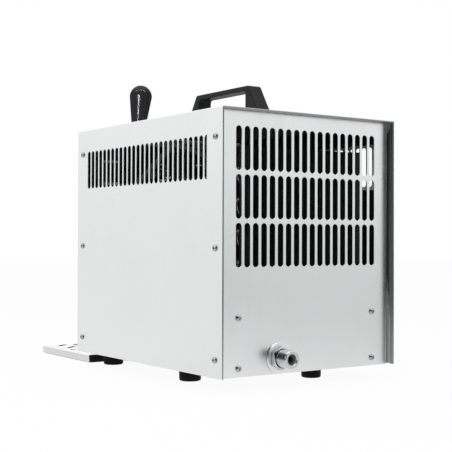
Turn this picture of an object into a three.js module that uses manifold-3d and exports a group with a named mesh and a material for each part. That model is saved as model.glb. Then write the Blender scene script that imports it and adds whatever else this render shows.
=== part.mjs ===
// Dry cooled beer dispenser: a boxy under-bar cooler with one tap, a carry handle and a drip tray.
// Millimetres. +Z is up and z = 0 is the counter. The tap and the drip tray face -Y, the inlet faces +Y.
// The origin is at the middle of the overall width and depth, on the counter.

import * as THREE from "three";
import Module from "manifold-3d";
import { mergeVertices } from "three/addons/utils/BufferGeometryUtils.js";

const wasm = await Module();
wasm.setup();

// Case
const caseWidth = 284;
const caseDepth = 384;
const caseHeight = 330;
const caseLift = 20;
const coverSheet = 1;
const coverBend = 1.5;
const hemWidth = 6.6;
const hemThickness = 2;
const hemBend = 2.2;
const frameSheet = 1.2;
const frontBend = 1.8;
const rearBend = 6;
const panelFlange = 26;
const rearRecess = 11;
const frontRecess = 2;
const baseDrop = 0.7;
const baseFlange = 15;
const seat = 0.3;
const overrun = 5;

// Vent slots. Insets are from the top of the case to the middle of a slot, margins from its edges.
const ventWidth = 8.7;
const ventLength = 55;
const sideVentPitch = 12;
const sideVentMargin = 30;
const sideVentInset = 60;
const rearVentPitch = 13;
const rearVentMargin = 24;
const rearVentRowPitch = 60;
const rearVentInset = 48.5;
const rearVentLow = 130;

// Screws of the cover and the rear panel
const screwHeadRadius = 4;
const screwHeadHeight = 2.6;
const screwRimHeight = 1.2;
const screwCrownRadius = 2.9;
const screwShankRadius = 2;
const screwLength = 7;
const screwHoleClearance = 0.5;
const recessLength = 4.4;
const recessWidth = 1.1;
const recessDepth = 1.5;
const coverScrewInset = 16.5;
const coverScrewLow = 22;
const coverScrewTop = 36;
const rearScrewInset = 30.2;
const rearScrewLow = 10;
const rearScrewHigh = 72;

// Feet
const footTopRadius = 15;
const footRadius = 14;
const footBottomRadius = 11.5;
const footEdge = 2;
const footStudRadius = 2.5;
const footStudLength = 5.5;
const footStudClearance = 0.5;
const footInset = 44;
const frontFootInset = 33;
const rearFootInset = 139;
const middleFootSide = 84;
const middleFootInset = 75;

// Carry handle
const handleLength = 192;
const handleTopLength = 130;
const handleHeight = 51;
const handleWidth = 22;
const handleGripThickness = 7;
const handleOpening = 116;
const handleCorner = 5;
const handleOffset = -2;
const handleStudSpread = 154;
const handleStudRadius = 2.5;
const handleStudLength = 8;
const handleStudClearance = 0.5;

// Tap, distances forward of the front panel's face
const tapInset = 60;
const shankRadius = 8;
const shankBore = 4;
const shankInside = 26;
const shankOutside = 18;
const shankClearance = 0.4;
const shankNutRadius = 15.6;
const shankNutThickness = 8;
const wallFlangeRadius = 26;
const wallFlangeRim = 1.6;
const wallFlangeThickness = 6;
const couplingRadius = 16;
const couplingLength = 18;
const couplingNotches = 6;
const couplingNotchWidth = 5;
const couplingNotchDepth = 2;
const tailRadius = 11;
const tailLength = 6.7;
const barrelRadius = 14;
const chamberReach = 73;
const chamberRadius = 15;
const chamberHalfHeight = 22;
const spoutNeckDrop = 16;
const spoutNeckRadius = 8;
const spoutRadius = 6.5;
const spoutBore = 4.5;
const spoutLength = 62;
const bonnetHeight = 15;
const bonnetChamfer = 3;
const ballRadius = 9;
const ballClearance = 0.5;
const cupLip = 1.5;
const pivotRise = 36;
const leverRestTilt = 8;
const stemRadius = 4;
const stemLength = 30;
const stemCollarRadius = 6.5;
const stemCollarHeight = 4;
const stemCollarStart = 14;
const knobStart = 20.5;
const knobBottomRadius = 8.5;
const knobNeckRadius = 10;
const knobNeckHeight = 6;
const knobMiddleRadius = 13;
const knobMiddleHeight = 34.5;
const knobShoulderRadius = 18.2;
const knobShoulderHeight = 75.5;
const knobHeight = 94.3;
const knobFlutes = 6;
const knobFluteDepth = 1.7;
const knobFluteTop = 80;
const knobSocketClearance = 0.3;
const flowSpindleReach = 42;
const flowHubRadius = 7;
const flowHubThickness = 7;
const flowArmLength = 34;
const flowArmWidth = 8;
const flowArmThickness = 3;
const flowSpindleRadius = 3;
const flowSpindleDepth = 8;
const flowSpindleClearance = 0.3;

// Drip tray
const trayInset = 20;
const trayReach = 166;
const trayGap = 0.6;
const trayHeight = 12;
const gridSheet = 1;
const gridBend = 1.6;
const gridSkirtGap = 1;
const gridSlotWidth = 7.5;
const gridSlotLength = 28;
const gridSlotTilt = 38;
const gridDashLength = 11;
const gridColumnPitch = 27;
const gridRowPitch = 33;
const gridMargin = 10;
const panWall = 1.8;
const panFloor = 1.8;
const panCorner = 7;
const hookInset = 64;
const hookWidth = 24;
const hookReach = 26;
const hookHeight = 2;
const hookThickness = 1.8;

// Beer inlet at the back
const inletShare = 0.167;
const inletHeight = 19.3;
const inletRadius = 11.5;
const inletReach = 16;
const inletNoseLength = 1.2;
const inletNoseRadius = 10.6;
const inletMouthRadius = 7.4;
const inletMouthDepth = 7;
const inletBore = 4;
const inletCollarRadius = 15;
const inletCollarThickness = 3;
const inletStubRadius = 6.5;
const inletStubLength = 10;
const inletClearance = 0.7;
const inletWasherRadius = 20;
const inletWasherThickness = 1.8;
const inletNutRadius = 15.5;
const inletNutThickness = 6;

// Cooling block in its foam box
const blockMargin = 72;
const blockRearInset = 256.5;
const lidDrop = 33.3;
const foamWall = 20;
const foamFrontGap = 15;
const lineRadius = 4.75;
const lineClearance = 1.2;
const lineBend = 18;
const lineInHeight = 60;
const lineInDip = 52;
const lineInClimb = 40;
const lineOutShare = 0.4;

// Compressor
const compressorSide = 82;
const compressorInset = 172;
const compressorRadius = 57;
const compressorSeam = 1.5;
const compressorSeamHeight = 5;
const compressorHeight = 150;
const compressorDome = 22;
const compressorDomeRadius = 38;
const compressorPlateWidth = 126;
const compressorPlateDepth = 104;
const compressorPlateThickness = 3;
const grommetHeight = 10;
const grommetRadius = 8;
const grommetInset = 11;
const stubLength = 9;
const stubRadius = 5;
const suctionStubHeight = 116;
const gasStubHeight = 86;
const gasStubInset = 18;
const terminalCoverWidth = 18;
const terminalCoverDepth = 40;
const terminalCoverHeight = 54;
const terminalCoverRise = 55;

// Condenser, its bracket and the fan
const condenserLeftGap = 47;
const condenserRightGap = 36;
const condenserTopGap = 44;
const condenserDepth = 38;
const condenserCoreDepth = 8;
const finCount = 17;
const finThickness = 1.6;
const bracketLeg = 32;
const bracketMargin = 17;
const bracketShelf = 50;
const bracketRise = 62;
const condenserGap = 3;
const shroudMargin = 10;
const fanShift = 6;
const fanMargin = 25;
const shroudClearance = 3;
const shroudCollar = 14;
const fanHubRadius = 20;
const fanHubDepth = 16;
const fanGap = 4;
const bladeCount = 5;
const bladeRoot = 2.5;
const bladeChord = 30;
const bladeThickness = 1.6;
const bladePitch = 28;
const shaftRadius = 3;
const shaftClearance = 0.3;
const motorRadius = 28;
const motorLength = 24;
const motorGap = 5;
const armWidth = 12;
const armThickness = 2.4;
const armInset = 12;

// Refrigerant pipes
const pipeRadius = 4;
const pipeBend = 15;
const headerInset = 9;
const headerRun = 30;
const gasHeaderDrop = 14;
const liquidHeaderRise = 42;
const gasPipeLow = 94;
const gasPipeHigh = 34;
const gasPipeFront = 250;
const gasPipeRear = 130;
const gasPipeWallGap = 14;
const suctionReach = 12;
const suctionClimb = 26;
const drierInset = 12;
const drierRadius = 9;
const drierStart = 89;
const drierLength = 70;
const drierTaper = 8;
const liquidTurn = 77;

// Controls on the front panel
const controlInset = 54;
const thermostatWidth = 40;
const thermostatHeight = 34;
const thermostatDepth = 24;
const thermostatShaftRadius = 3;
const thermostatShaftReach = 12;
const thermostatHoleClearance = 1;
const dialRadius = 20;
const dialRim = 2.4;
const dialGap = 0.6;
const dialBodyRadius = 15;
const dialFaceRadius = 13.6;
const dialHeight = 16;
const dialPointerWidth = 2.4;
const dialPointerHeight = 0.8;
const switchBezelWidth = 26;
const switchBezelHeight = 34;
const switchBezelThickness = 2.2;
const switchBodyWidth = 21;
const switchBodyHeight = 29;
const switchBodyDepth = 18;
const switchPocketDepth = 9;
const rockerWidth = 14.2;
const rockerHeight = 24.4;
const rockerThickness = 5.5;
const rockerCrown = 1.6;
const rockerClearance = 0.4;
const rockerEndClearance = 0.8;
const rockerTilt = 8;

// Cable gland in the base
const glandSide = 24;
const glandInset = 80;
const glandRadius = 6;
const glandBore = 4;
const glandCollarRadius = 10;
const glandCollarThickness = 4;
const glandTailRadius = 5.2;
const glandTailLength = 2;
const glandTop = 6;
const glandClearance = 0.5;

// Numbers of sides
const roundSides = 24;
const mediumSides = 16;
const smallSides = 12;
const screwSides = 8;
const pipeSides = 6;
const bendSides = 2;
const slotSides = 3;
const pipeBendSides = 3;
const ballSides = 6;
const domeSides = 4;
const nutSides = 6;
const weldTolerance = 1e-4;

// Places worked out from the sizes above
const rearY = (caseDepth + trayReach - inletReach) / 2;
const frontY = rearY - caseDepth;
const sideX = caseWidth / 2;
const caseTop = caseLift + caseHeight;
const baseBottom = caseLift - baseDrop;
const baseTop = baseBottom + frameSheet;
const coverInside = caseTop - coverSheet;
const panelWidth = caseWidth - 2 * (coverSheet + seat);
const panelTop = coverInside - seat;
const frontFace = frontY + frontRecess;
const frontInside = frontFace + frameSheet;
const rearFace = rearY - rearRecess;
const rearInside = rearFace - frameSheet;
const sideVentCount = Math.floor((caseDepth - 2 * sideVentMargin - ventWidth) / sideVentPitch) + 1;
const rearVentColumns = Math.floor((panelWidth - 2 * rearVentMargin - ventWidth) / rearVentPitch) + 1;
const rearVentRoom = caseHeight - rearVentInset - ventLength / 2 - rearVentLow;
const rearVentRows = Math.floor(rearVentRoom / rearVentRowPitch) + 1;
const tapZ = caseTop - tapInset;
const tapY = frontFace - chamberReach;
const pivotZ = tapZ + pivotRise;
const controlX = sideX - controlInset;
const trayWidth = caseWidth - 2 * trayInset;
const inletX = inletShare * caseWidth;
const inletZ = caseLift + inletHeight;
const rearScrewX = panelWidth / 2 - rearScrewInset;
const footX = sideX - footInset;
const blockWidth = caseWidth - 2 * blockMargin;
const foamBottom = baseTop + seat;
const foamFront = frontInside + foamFrontGap;
const blockFront = foamFront + foamWall + seat;
const blockRear = rearY - blockRearInset;
const foamRear = blockRear + seat + foamWall;
const blockBottom = foamBottom + foamWall + seat;
const lidTop = tapZ - lidDrop;
const foamTop = lidTop - foamWall - seat;
const blockTop = foamTop - seat;
const foamWidth = blockWidth + 2 * (foamWall + seat);
const shelfTop = baseTop + bracketRise + bracketLeg;
const condenserLeft = condenserLeftGap - sideX;
const condenserRight = sideX - condenserRightGap;
const condenserWidth = condenserRight - condenserLeft;
const condenserRear = rearInside - seat - frameSheet - condenserGap;
const condenserFront = condenserRear - condenserDepth;
const condenserBottom = shelfTop + seat;
const condenserTop = caseTop - condenserTopGap;
const shroudWidth = condenserWidth - 2 * shroudMargin;
const shroudRear = condenserFront - seat;
const shroudFront = shroudRear - frameSheet;
const fanX = (condenserLeft + condenserRight) / 2 - fanShift;
const fanZ = (condenserBottom + condenserTop) / 2;
const fanRadius = Math.min(shroudWidth, condenserTop - condenserBottom) / 2 - fanMargin;
const hubRear = shroudFront - fanGap;
const motorRear = hubRear - fanHubDepth - motorGap;
const motorFront = motorRear - motorLength;
const compressorX = compressorSide - sideX;
const compressorY = rearY - compressorInset;
const compressorBottom = baseTop + seat + grommetHeight;
const headerX = condenserRight - headerInset;
const glandX = glandSide - sideX;

const steel = { color: 0xdadedd, roughness: 0.4, metalness: 0.7 };
const chrome = { color: 0xe8e8e8, roughness: 0.12, metalness: 1 };
const blackPlastic = { color: 0x1c1d1e, roughness: 0.45, metalness: 0 };
const glossBlack = { color: 0x0c0c0d, roughness: 0.12, metalness: 0 };
const rubber = { color: 0x202121, roughness: 0.8, metalness: 0 };
const castAluminium = { color: 0xb9bcbf, roughness: 0.5, metalness: 0.9 };
const foam = { color: 0x26282a, roughness: 0.95, metalness: 0 };
const blackPaint = { color: 0x141516, roughness: 0.35, metalness: 0.2 };
const copper = { color: 0xb87350, roughness: 0.3, metalness: 1 };
const galvanised = { color: 0xa7abad, roughness: 0.5, metalness: 0.8 };

const part = new THREE.Group();

// Turns a closed geometry into a solid, with collapsed triangles left out and the faces pointing out.
function solidOf(geometry) {
  geometry.deleteAttribute("normal");
  geometry.deleteAttribute("uv");
  const welded = mergeVertices(geometry, weldTolerance);
  const corners = welded.index.array;
  const places = welded.attributes.position;
  const a = new THREE.Vector3();
  const b = new THREE.Vector3();
  const c = new THREE.Vector3();
  const triangles = [];
  let volume = 0;
  for (let i = 0; i < corners.length; i += 3) {
    const [ia, ib, ic] = [corners[i], corners[i + 1], corners[i + 2]];
    if (ia !== ib && ib !== ic && ic !== ia) {
      triangles.push(ia, ib, ic);
      a.fromBufferAttribute(places, ia);
      b.fromBufferAttribute(places, ib);
      c.fromBufferAttribute(places, ic);
      volume += a.dot(b.cross(c));
    }
  }
  const ordered = volume < 0 ? triangles.reverse() : triangles;
  return new wasm.Manifold(new wasm.Mesh({
    numProp: 3,
    vertProperties: new Float32Array(places.array),
    triVerts: new Uint32Array(ordered),
  }));
}

function add(name, solid, look) {
  const mesh = solid.getMesh();
  const geometry = new THREE.BufferGeometry();
  geometry.setAttribute("position", new THREE.BufferAttribute(new Float32Array(mesh.vertProperties), 3));
  geometry.setIndex(new THREE.BufferAttribute(new Uint32Array(mesh.triVerts), 1));
  geometry.computeVertexNormals();
  const piece = new THREE.Mesh(geometry, new THREE.MeshStandardMaterial(look));
  piece.name = name;
  part.add(piece);
}

const joined = (solids) => solids.reduce((whole, next) => whole.add(next));

const cut = (solid, cutters) => solid.subtract(joined(cutters));

function block(low, high) {
  const [x0, y0, z0] = low;
  const [x1, y1, z1] = high;
  const geometry = new THREE.BoxGeometry(x1 - x0, y1 - y0, z1 - z0);
  return solidOf(geometry.translate((x0 + x1) / 2, (y0 + y1) / 2, (z0 + z1) / 2));
}

const outline = (corners) => new THREE.Shape(corners.map((corner) => new THREE.Vector2(...corner)));

const quarter = Math.PI / 2;

const degrees = (angle) => 90 * angle / quarter;

// The angles in degrees of a number of places evenly round a circle.
const roundCircle = (count) => Array.from({ length: count }, (_, i) => 360 * i / count);

function extruded(shape, depth) {
  return new THREE.ExtrudeGeometry(shape, { depth, bevelEnabled: false, curveSegments: bendSides });
}

// A flat shape drawn in x and y, pushed up along +Z.
function prismUp(shape, z0, z1) {
  return solidOf(extruded(shape, z1 - z0).translate(0, 0, z0));
}

// A shape drawn in x and z, pushed along Y.
function prismAlongY(shape, y0, y1) {
  return solidOf(extruded(shape, y1 - y0).rotateX(quarter).translate(0, y1, 0));
}

// A shape drawn in y and z, pushed along X.
function prismAlongX(shape, x0, x1) {
  return solidOf(extruded(shape, x1 - x0).rotateX(quarter).rotateZ(quarter).translate(x0, 0, 0));
}

const turnTo = {
  up: (geometry) => geometry,
  front: (geometry) => geometry.rotateX(quarter),
  rear: (geometry) => geometry.rotateX(-quarter),
  right: (geometry) => geometry.rotateY(quarter),
  left: (geometry) => geometry.rotateY(-quarter),
};

// A turned piece. The profile lists radius and distance along the axis, which starts at the given place.
function turned(profile, sides, towards, place) {
  const points = profile.map(([radius, along]) => new THREE.Vector2(radius, along));
  const geometry = new THREE.LatheGeometry(points, sides).rotateX(quarter);
  return solidOf(turnTo[towards](geometry).translate(...place));
}

const rod = (radius, from, to, sides, towards, place) =>
  turned([[0, from], [radius, from], [radius, to], [0, to]], sides, towards, place);

const ring = (bore, radius, from, to, sides, towards, place) =>
  turned([[bore, from], [radius, from], [radius, to], [bore, to], [bore, from]], sides, towards, place);

// A hexagon with a round bore: the given radius is that of its corners.
function hexNut(bore, radius, from, to, towards, place) {
  const hexagon = rod(radius, from, to, nutSides, towards, place);
  return hexagon.subtract(rod(bore, from - overrun, to + overrun, mediumSides, towards, place));
}

// A route through listed points, with one step of an extrusion from each point to the next.
class Route extends THREE.Curve {
  constructor(points) {
    super();
    this.points = points;
  }

  getPointAt(share) {
    return this.points[Math.round(share * (this.points.length - 1))].clone();
  }

  getTangentAt(share) {
    const last = this.points.length - 1;
    const i = Math.round(share * last);
    const before = this.points[Math.max(i - 1, 0)];
    const after = this.points[Math.min(i + 1, last)];
    return after.clone().sub(before).normalize();
  }
}

// A pipe along straight runs, with a bend of the given radius at each corner.
function pipe(corners, radius, bend) {
  const points = corners.map((corner) => new THREE.Vector3(...corner));
  const route = [points[0]];
  for (let i = 1; i < points.length - 1; i += 1) {
    const back = points[i - 1].clone().sub(points[i]).normalize();
    const ahead = points[i + 1].clone().sub(points[i]).normalize();
    const reach = bend / Math.tan(back.angleTo(ahead) / 2);
    back.multiplyScalar(reach).add(points[i]);
    ahead.multiplyScalar(reach).add(points[i]);
    const turn = new THREE.QuadraticBezierCurve3(back, points[i], ahead);
    route.push(...turn.getPoints(pipeBendSides));
  }
  route.push(points[points.length - 1]);
  const section = [];
  for (let i = 0; i < pipeSides; i += 1) {
    const angle = 2 * Math.PI * i / pipeSides;
    section.push([radius * Math.cos(angle), radius * Math.sin(angle)]);
  }
  const options = { steps: route.length - 1, bevelEnabled: false, extrudePath: new Route(route) };
  return solidOf(new THREE.ExtrudeGeometry(outline(section), options));
}

// A slot outline with round ends, its long way along the second axis.
function slotShape(x, y, width, length) {
  const r = width / 2;
  const half = length / 2 - r;
  const corners = [];
  for (const side of [1, -1]) {
    for (let i = 0; i <= slotSides; i += 1) {
      const angle = Math.PI * i / slotSides;
      corners.push([x + side * r * Math.cos(angle), y + side * (half + r * Math.sin(angle))]);
    }
  }
  return outline(corners);
}

// A sheet bent down at both sides, open below.
function hoodShape(width, bottom, top, sheet, bend) {
  const shape = new THREE.Shape();
  const w = width / 2;
  const inner = bend - sheet;
  shape.moveTo(-w, bottom);
  shape.absarc(-w + bend, top - bend, bend, Math.PI, quarter, true);
  shape.absarc(w - bend, top - bend, bend, quarter, 0, true);
  shape.lineTo(w, bottom);
  shape.lineTo(w - sheet, bottom);
  shape.absarc(w - bend, top - bend, inner, 0, quarter);
  shape.absarc(-w + bend, top - bend, inner, quarter, Math.PI);
  shape.lineTo(-w + sheet, bottom);
  shape.closePath();
  return shape;
}

// The heights of the cover's screws, and their places along the depth.
const coverScrewHeights = {
  low: caseLift + coverScrewLow,
  middle: (caseLift + coverScrewLow + caseTop - coverScrewTop) / 2,
  high: caseTop - coverScrewTop,
};
const coverScrewPlaces = { front: frontY + coverScrewInset, rear: rearY - coverScrewInset };
const rearScrewHeights = { low: caseLift + rearScrewLow, high: caseLift + rearScrewHigh };

function coverScrewHoles() {
  const holes = [];
  const radius = screwShankRadius + screwHoleClearance;
  const reach = sideX + overrun;
  for (const y of Object.values(coverScrewPlaces)) {
    for (const z of Object.values(coverScrewHeights)) {
      holes.push(rod(radius, -reach, reach, screwSides, "right", [0, y, z]));
    }
  }
  return holes;
}

// The cover is one sheet bent over the case, with its rear edge folded in on itself.
function wrapCover() {
  const sheet = prismAlongY(hoodShape(caseWidth, caseLift, caseTop, coverSheet, coverBend), frontY, rearY);
  const hem = hoodShape(caseWidth, caseLift, caseTop, hemThickness, hemBend);
  const middle = (frontY + rearY) / 2;
  const reach = sideX + overrun;
  const cutters = coverScrewHoles();
  for (let i = 0; i < sideVentCount; i += 1) {
    const y = middle + (i - (sideVentCount - 1) / 2) * sideVentPitch;
    const vent = slotShape(y, caseTop - sideVentInset, ventWidth, ventLength);
    cutters.push(prismAlongX(vent, -reach, reach));
  }
  for (const side of [-1, 1]) {
    const place = [0, middle + handleOffset + side * handleStudSpread / 2, 0];
    const radius = handleStudRadius + handleStudClearance;
    cutters.push(rod(radius, coverInside - overrun, caseTop + overrun, screwSides, "up", place));
  }
  add("wrap_cover", cut(sheet.add(prismAlongY(hem, rearY - hemWidth, rearY)), cutters), steel);
}

// An end panel in plan view: a web with its outer face on y = 0 and a flange at each side towards +y.
function panelShape(bend) {
  const shape = new THREE.Shape();
  const w = panelWidth / 2;
  const inner = bend - frameSheet;
  shape.moveTo(-w, panelFlange);
  shape.absarc(-w + bend, bend, bend, 2 * quarter, 3 * quarter);
  shape.absarc(w - bend, bend, bend, 3 * quarter, 4 * quarter);
  shape.lineTo(w, panelFlange);
  shape.lineTo(w - frameSheet, panelFlange);
  shape.absarc(w - bend, bend, inner, 0, -quarter, true);
  shape.absarc(-w + bend, bend, inner, -quarter, -2 * quarter, true);
  shape.lineTo(-w + frameSheet, panelFlange);
  shape.closePath();
  return shape;
}

function frontPanel() {
  const web = prismUp(panelShape(frontBend), baseBottom, panelTop).translate(0, frontFace, 0);
  const slotWidth = switchBodyWidth / 2 + seat;
  const slotHeight = switchBodyHeight / 2 + seat;
  const low = frontFace - overrun;
  const high = frontInside + overrun;
  const bushRadius = thermostatShaftRadius + thermostatHoleClearance;
  const cutters = [
    ...coverScrewHoles(),
    rod(shankRadius + shankClearance, low, high, mediumSides, "rear", [0, 0, tapZ]),
    rod(bushRadius, low, high, smallSides, "rear", [-controlX, 0, tapZ]),
    block([controlX - slotWidth, low, tapZ - slotHeight], [controlX + slotWidth, high, tapZ + slotHeight]),
  ];
  add("front_panel", cut(web, cutters), steel);
}

function rearPanel() {
  const web = prismUp(panelShape(rearBend), baseBottom, panelTop)
    .rotate([0, 0, degrees(2 * quarter)])
    .translate(0, rearFace, 0);
  const low = rearInside - overrun;
  const high = rearFace + overrun;
  const cutters = coverScrewHoles();
  for (let column = 0; column < rearVentColumns; column += 1) {
    for (let row = 0; row < rearVentRows; row += 1) {
      const x = (column - (rearVentColumns - 1) / 2) * rearVentPitch;
      const z = caseTop - rearVentInset - row * rearVentRowPitch;
      cutters.push(prismAlongY(slotShape(x, z, ventWidth, ventLength), low, high));
    }
  }
  const holeRadius = screwShankRadius + screwHoleClearance;
  for (const z of Object.values(rearScrewHeights)) {
    for (const side of [-1, 1]) {
      cutters.push(rod(holeRadius, low, high, screwSides, "rear", [side * rearScrewX, 0, z]));
    }
  }
  cutters.push(rod(inletRadius + inletClearance, low, high, mediumSides, "rear", [inletX, 0, inletZ]));
  add("rear_panel", cut(web, cutters), steel);
}

// The feet's places on the base.
const feet = {
  foot_front_left: [-footX, frontY + frontFootInset],
  foot_front_right: [footX, frontY + frontFootInset],
  foot_rear_left: [-footX, rearY - rearFootInset],
  foot_rear_right: [footX, rearY - rearFootInset],
  foot_rear_middle: [middleFootSide - sideX, rearY - middleFootInset],
};

// The base plate in plan view, drawn in by the given amount. Its rear corners lie in the rear panel's bends.
function baseShape(inset) {
  const shape = new THREE.Shape();
  const away = frameSheet + seat + inset;
  const x = panelWidth / 2 - away;
  const rear = rearFace - away;
  const round = rearBend - away;
  shape.moveTo(-x, frontFace + away);
  shape.lineTo(x, frontFace + away);
  shape.absarc(x - round, rear - round, round, 0, quarter);
  shape.absarc(-x + round, rear - round, round, quarter, 2 * quarter);
  shape.closePath();
  return shape;
}

function basePlate() {
  const plate = prismUp(baseShape(0), baseBottom, baseBottom + baseFlange);
  const inside = prismUp(baseShape(frameSheet), baseTop, baseBottom + baseFlange + overrun);
  const cutters = Object.values(feet).map(([x, y]) =>
    rod(footStudRadius + footStudClearance, 0, caseLift + overrun, screwSides, "up", [x, y, 0]));
  const glandHole = glandRadius + glandClearance;
  cutters.push(rod(glandHole, 0, caseLift + overrun, smallSides, "up", [glandX, rearY - glandInset, 0]));
  const holeRadius = screwShankRadius + screwHoleClearance;
  const reach = [rearInside - overrun, rearInside + overrun];
  for (const side of [-1, 1]) {
    const place = [side * rearScrewX, 0, rearScrewHeights.low];
    cutters.push(rod(holeRadius, ...reach, screwSides, "rear", place));
  }
  const collar = inletCollarRadius + inletClearance;
  cutters.push(rod(collar, ...reach, mediumSides, "rear", [inletX, 0, inletZ]));
  add("base_plate", cut(plate, [inside, ...cutters]), galvanised);
}

// A pan head screw with a cross recess, its head's underside at the given place.
function screw(name, towards, place) {
  const h = screwHeadHeight;
  const r = screwHeadRadius;
  const profile = [
    [0, -screwLength],
    [screwShankRadius, -screwLength],
    [screwShankRadius, 0],
    [r, 0],
    [r, screwRimHeight],
    [screwCrownRadius, h],
    [0, h],
  ];
  const long = recessLength / 2;
  const wide = recessWidth / 2;
  const low = h - recessDepth;
  const body = turned(profile, screwSides, "up", [0, 0, 0]);
  const cross = block([-long, -wide, low], [long, wide, h + overrun])
    .add(block([-wide, -long, low], [wide, long, h + overrun]));
  const right = degrees(quarter);
  const turns = { left: [0, -right, 0], right: [0, right, 0], rear: [-right, 0, 0] };
  add(name, body.subtract(cross).rotate(turns[towards]).translate(place), chrome);
}

function screws() {
  const side = sideX + seat;
  for (const [end, y] of Object.entries(coverScrewPlaces)) {
    for (const [level, z] of Object.entries(coverScrewHeights)) {
      screw(`cover_screw_left_${end}_${level}`, "left", [-side, y, z]);
      screw(`cover_screw_right_${end}_${level}`, "right", [side, y, z]);
    }
  }
  for (const [level, z] of Object.entries(rearScrewHeights)) {
    screw(`rear_screw_left_${level}`, "rear", [-rearScrewX, rearFace + seat, z]);
    screw(`rear_screw_right_${level}`, "rear", [rearScrewX, rearFace + seat, z]);
  }
}

function rubberFeet() {
  const top = baseBottom - seat;
  const profile = [
    [0, 0],
    [footBottomRadius, 0],
    [footRadius, footEdge],
    [footTopRadius, top],
    [footStudRadius, top],
    [footStudRadius, top + footStudLength],
    [0, top + footStudLength],
  ];
  for (const [name, [x, y]] of Object.entries(feet)) {
    add(name, turned(profile, smallSides, "up", [x, y, 0]), rubber);
  }
}

function carryHandle() {
  const y = (frontY + rearY) / 2 + handleOffset;
  const z = caseTop + seat;
  const under = z + handleHeight - handleGripThickness;
  const inside = handleOpening / 2;
  const bend = handleCorner;
  const shape = new THREE.Shape();
  shape.moveTo(y - handleLength / 2, z);
  shape.lineTo(y - inside, z);
  shape.absarc(y - inside + bend, under - bend, bend, Math.PI, quarter, true);
  shape.absarc(y + inside - bend, under - bend, bend, quarter, 0, true);
  shape.lineTo(y + inside, z);
  shape.lineTo(y + handleLength / 2, z);
  shape.lineTo(y + handleTopLength / 2, z + handleHeight);
  shape.lineTo(y - handleTopLength / 2, z + handleHeight);
  shape.closePath();
  const grip = prismAlongX(shape, -handleWidth / 2, handleWidth / 2);
  const studs = [-1, 1].map((side) =>
    rod(handleStudRadius, z - handleStudLength, z + overrun, screwSides, "up",
      [0, y + side * handleStudSpread / 2, 0]));
  add("carry_handle", joined([grip, ...studs]), blackPlastic);
}

// Pieces of the tap on the shank's axis start at the front panel's face and run forward.
const onPanel = [0, frontFace, tapZ];

function tapMounting() {
  const behind = -frameSheet - seat;
  const flangeFront = seat + wallFlangeThickness;
  const bore = shankRadius + shankClearance;
  const shank = ring(shankBore, shankRadius, -shankInside, shankOutside, mediumSides, "front", onPanel);
  add("tap_shank", shank, chrome);
  add("tap_shank_nut",
    hexNut(bore, shankNutRadius, behind - shankNutThickness, behind, "front", onPanel), chrome);
  const flange = [
    [bore, seat],
    [wallFlangeRadius, seat],
    [wallFlangeRadius, seat + wallFlangeRim],
    [couplingRadius, flangeFront],
    [bore, flangeFront],
    [bore, seat],
  ];
  add("tap_wall_flange", turned(flange, roundSides, "front", onPanel), chrome);
}

// The nut that draws the tap's tail onto the shank: its wide bore takes the tail.
function tapCouplingNut() {
  const start = wallFlangeThickness + 2 * seat;
  const end = start + couplingLength;
  const bore = shankRadius + shankClearance;
  const wideBore = tailRadius + shankClearance;
  const profile = [
    [bore, start],
    [couplingRadius, start],
    [couplingRadius, end],
    [wideBore, end],
    [wideBore, shankOutside],
    [bore, shankOutside],
    [bore, start],
  ];
  const low = couplingRadius - couplingNotchDepth;
  const wide = couplingNotchWidth / 2;
  const notch = block([low, -wide, start - overrun], [couplingRadius + overrun, wide, end + overrun]);
  const notches = roundCircle(couplingNotches).map((angle) =>
    notch.rotate([0, 0, angle]).rotate([degrees(quarter), 0, 0]).translate(onPanel));
  add("tap_coupling_nut", cut(turned(profile, mediumSides, "front", onPanel), notches), chrome);
}

function tapBody() {
  const tailStart = shankOutside + seat;
  const barrelStart = tailStart + tailLength;
  const column = [0, tapY, tapZ];
  const neckStart = chamberHalfHeight + spoutNeckDrop;
  const spoutEnd = chamberHalfHeight + spoutLength;
  const chamber = [
    [0, -spoutEnd],
    [spoutRadius, -spoutEnd],
    [spoutRadius, -neckStart],
    [spoutNeckRadius, -neckStart],
    [chamberRadius, -chamberHalfHeight],
    [chamberRadius, chamberHalfHeight],
    [0, chamberHalfHeight],
  ];
  const body = joined([
    turned(chamber, mediumSides, "up", column),
    rod(barrelRadius, barrelStart, chamberReach, mediumSides, "front", onPanel),
    rod(tailRadius, tailStart, chamberReach, mediumSides, "front", onPanel),
  ]);
  const spindlePlace = [0, frontFace - flowSpindleReach, tapZ];
  const spindleHole = flowSpindleRadius + flowSpindleClearance;
  const spindleEnd = barrelRadius - flowSpindleDepth;
  const bores = [
    rod(spoutBore, -spoutEnd - overrun, 0, screwSides, "up", column),
    rod(shankBore, tailStart - overrun, chamberReach, screwSides, "front", onPanel),
    rod(spindleHole, spindleEnd, barrelRadius + overrun, screwSides, "right", spindlePlace),
  ];
  add("tap_body", cut(body, bores), chrome);
}

// The cap of the tap: a cup for the lever's ball.
function tapBonnet() {
  const low = chamberHalfHeight + seat;
  const high = low + bonnetHeight;
  const cup = ballRadius + ballClearance;
  const lip = cupLip / cup;
  const steps = ballSides;
  const profile = [
    [0, low],
    [chamberRadius, low],
    [chamberRadius, high - bonnetChamfer],
    [chamberRadius - bonnetChamfer, pivotRise + cupLip],
  ];
  for (let i = 0; i <= steps; i += 1) {
    const angle = Math.asin(lip) * (1 - i / steps) - quarter * (i / steps);
    profile.push([i === steps ? 0 : cup * Math.cos(angle), pivotRise + cup * Math.sin(angle)]);
  }
  add("tap_bonnet", turned(profile, mediumSides, "up", [0, tapY, tapZ]), chrome);
}

// The lever and its knob are drawn upright on the pivot, then tilted back to their place at rest.
const atPivot = (solid) => solid.rotate([-leverRestTilt, 0, 0]).translate([0, tapY, pivotZ]);

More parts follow.
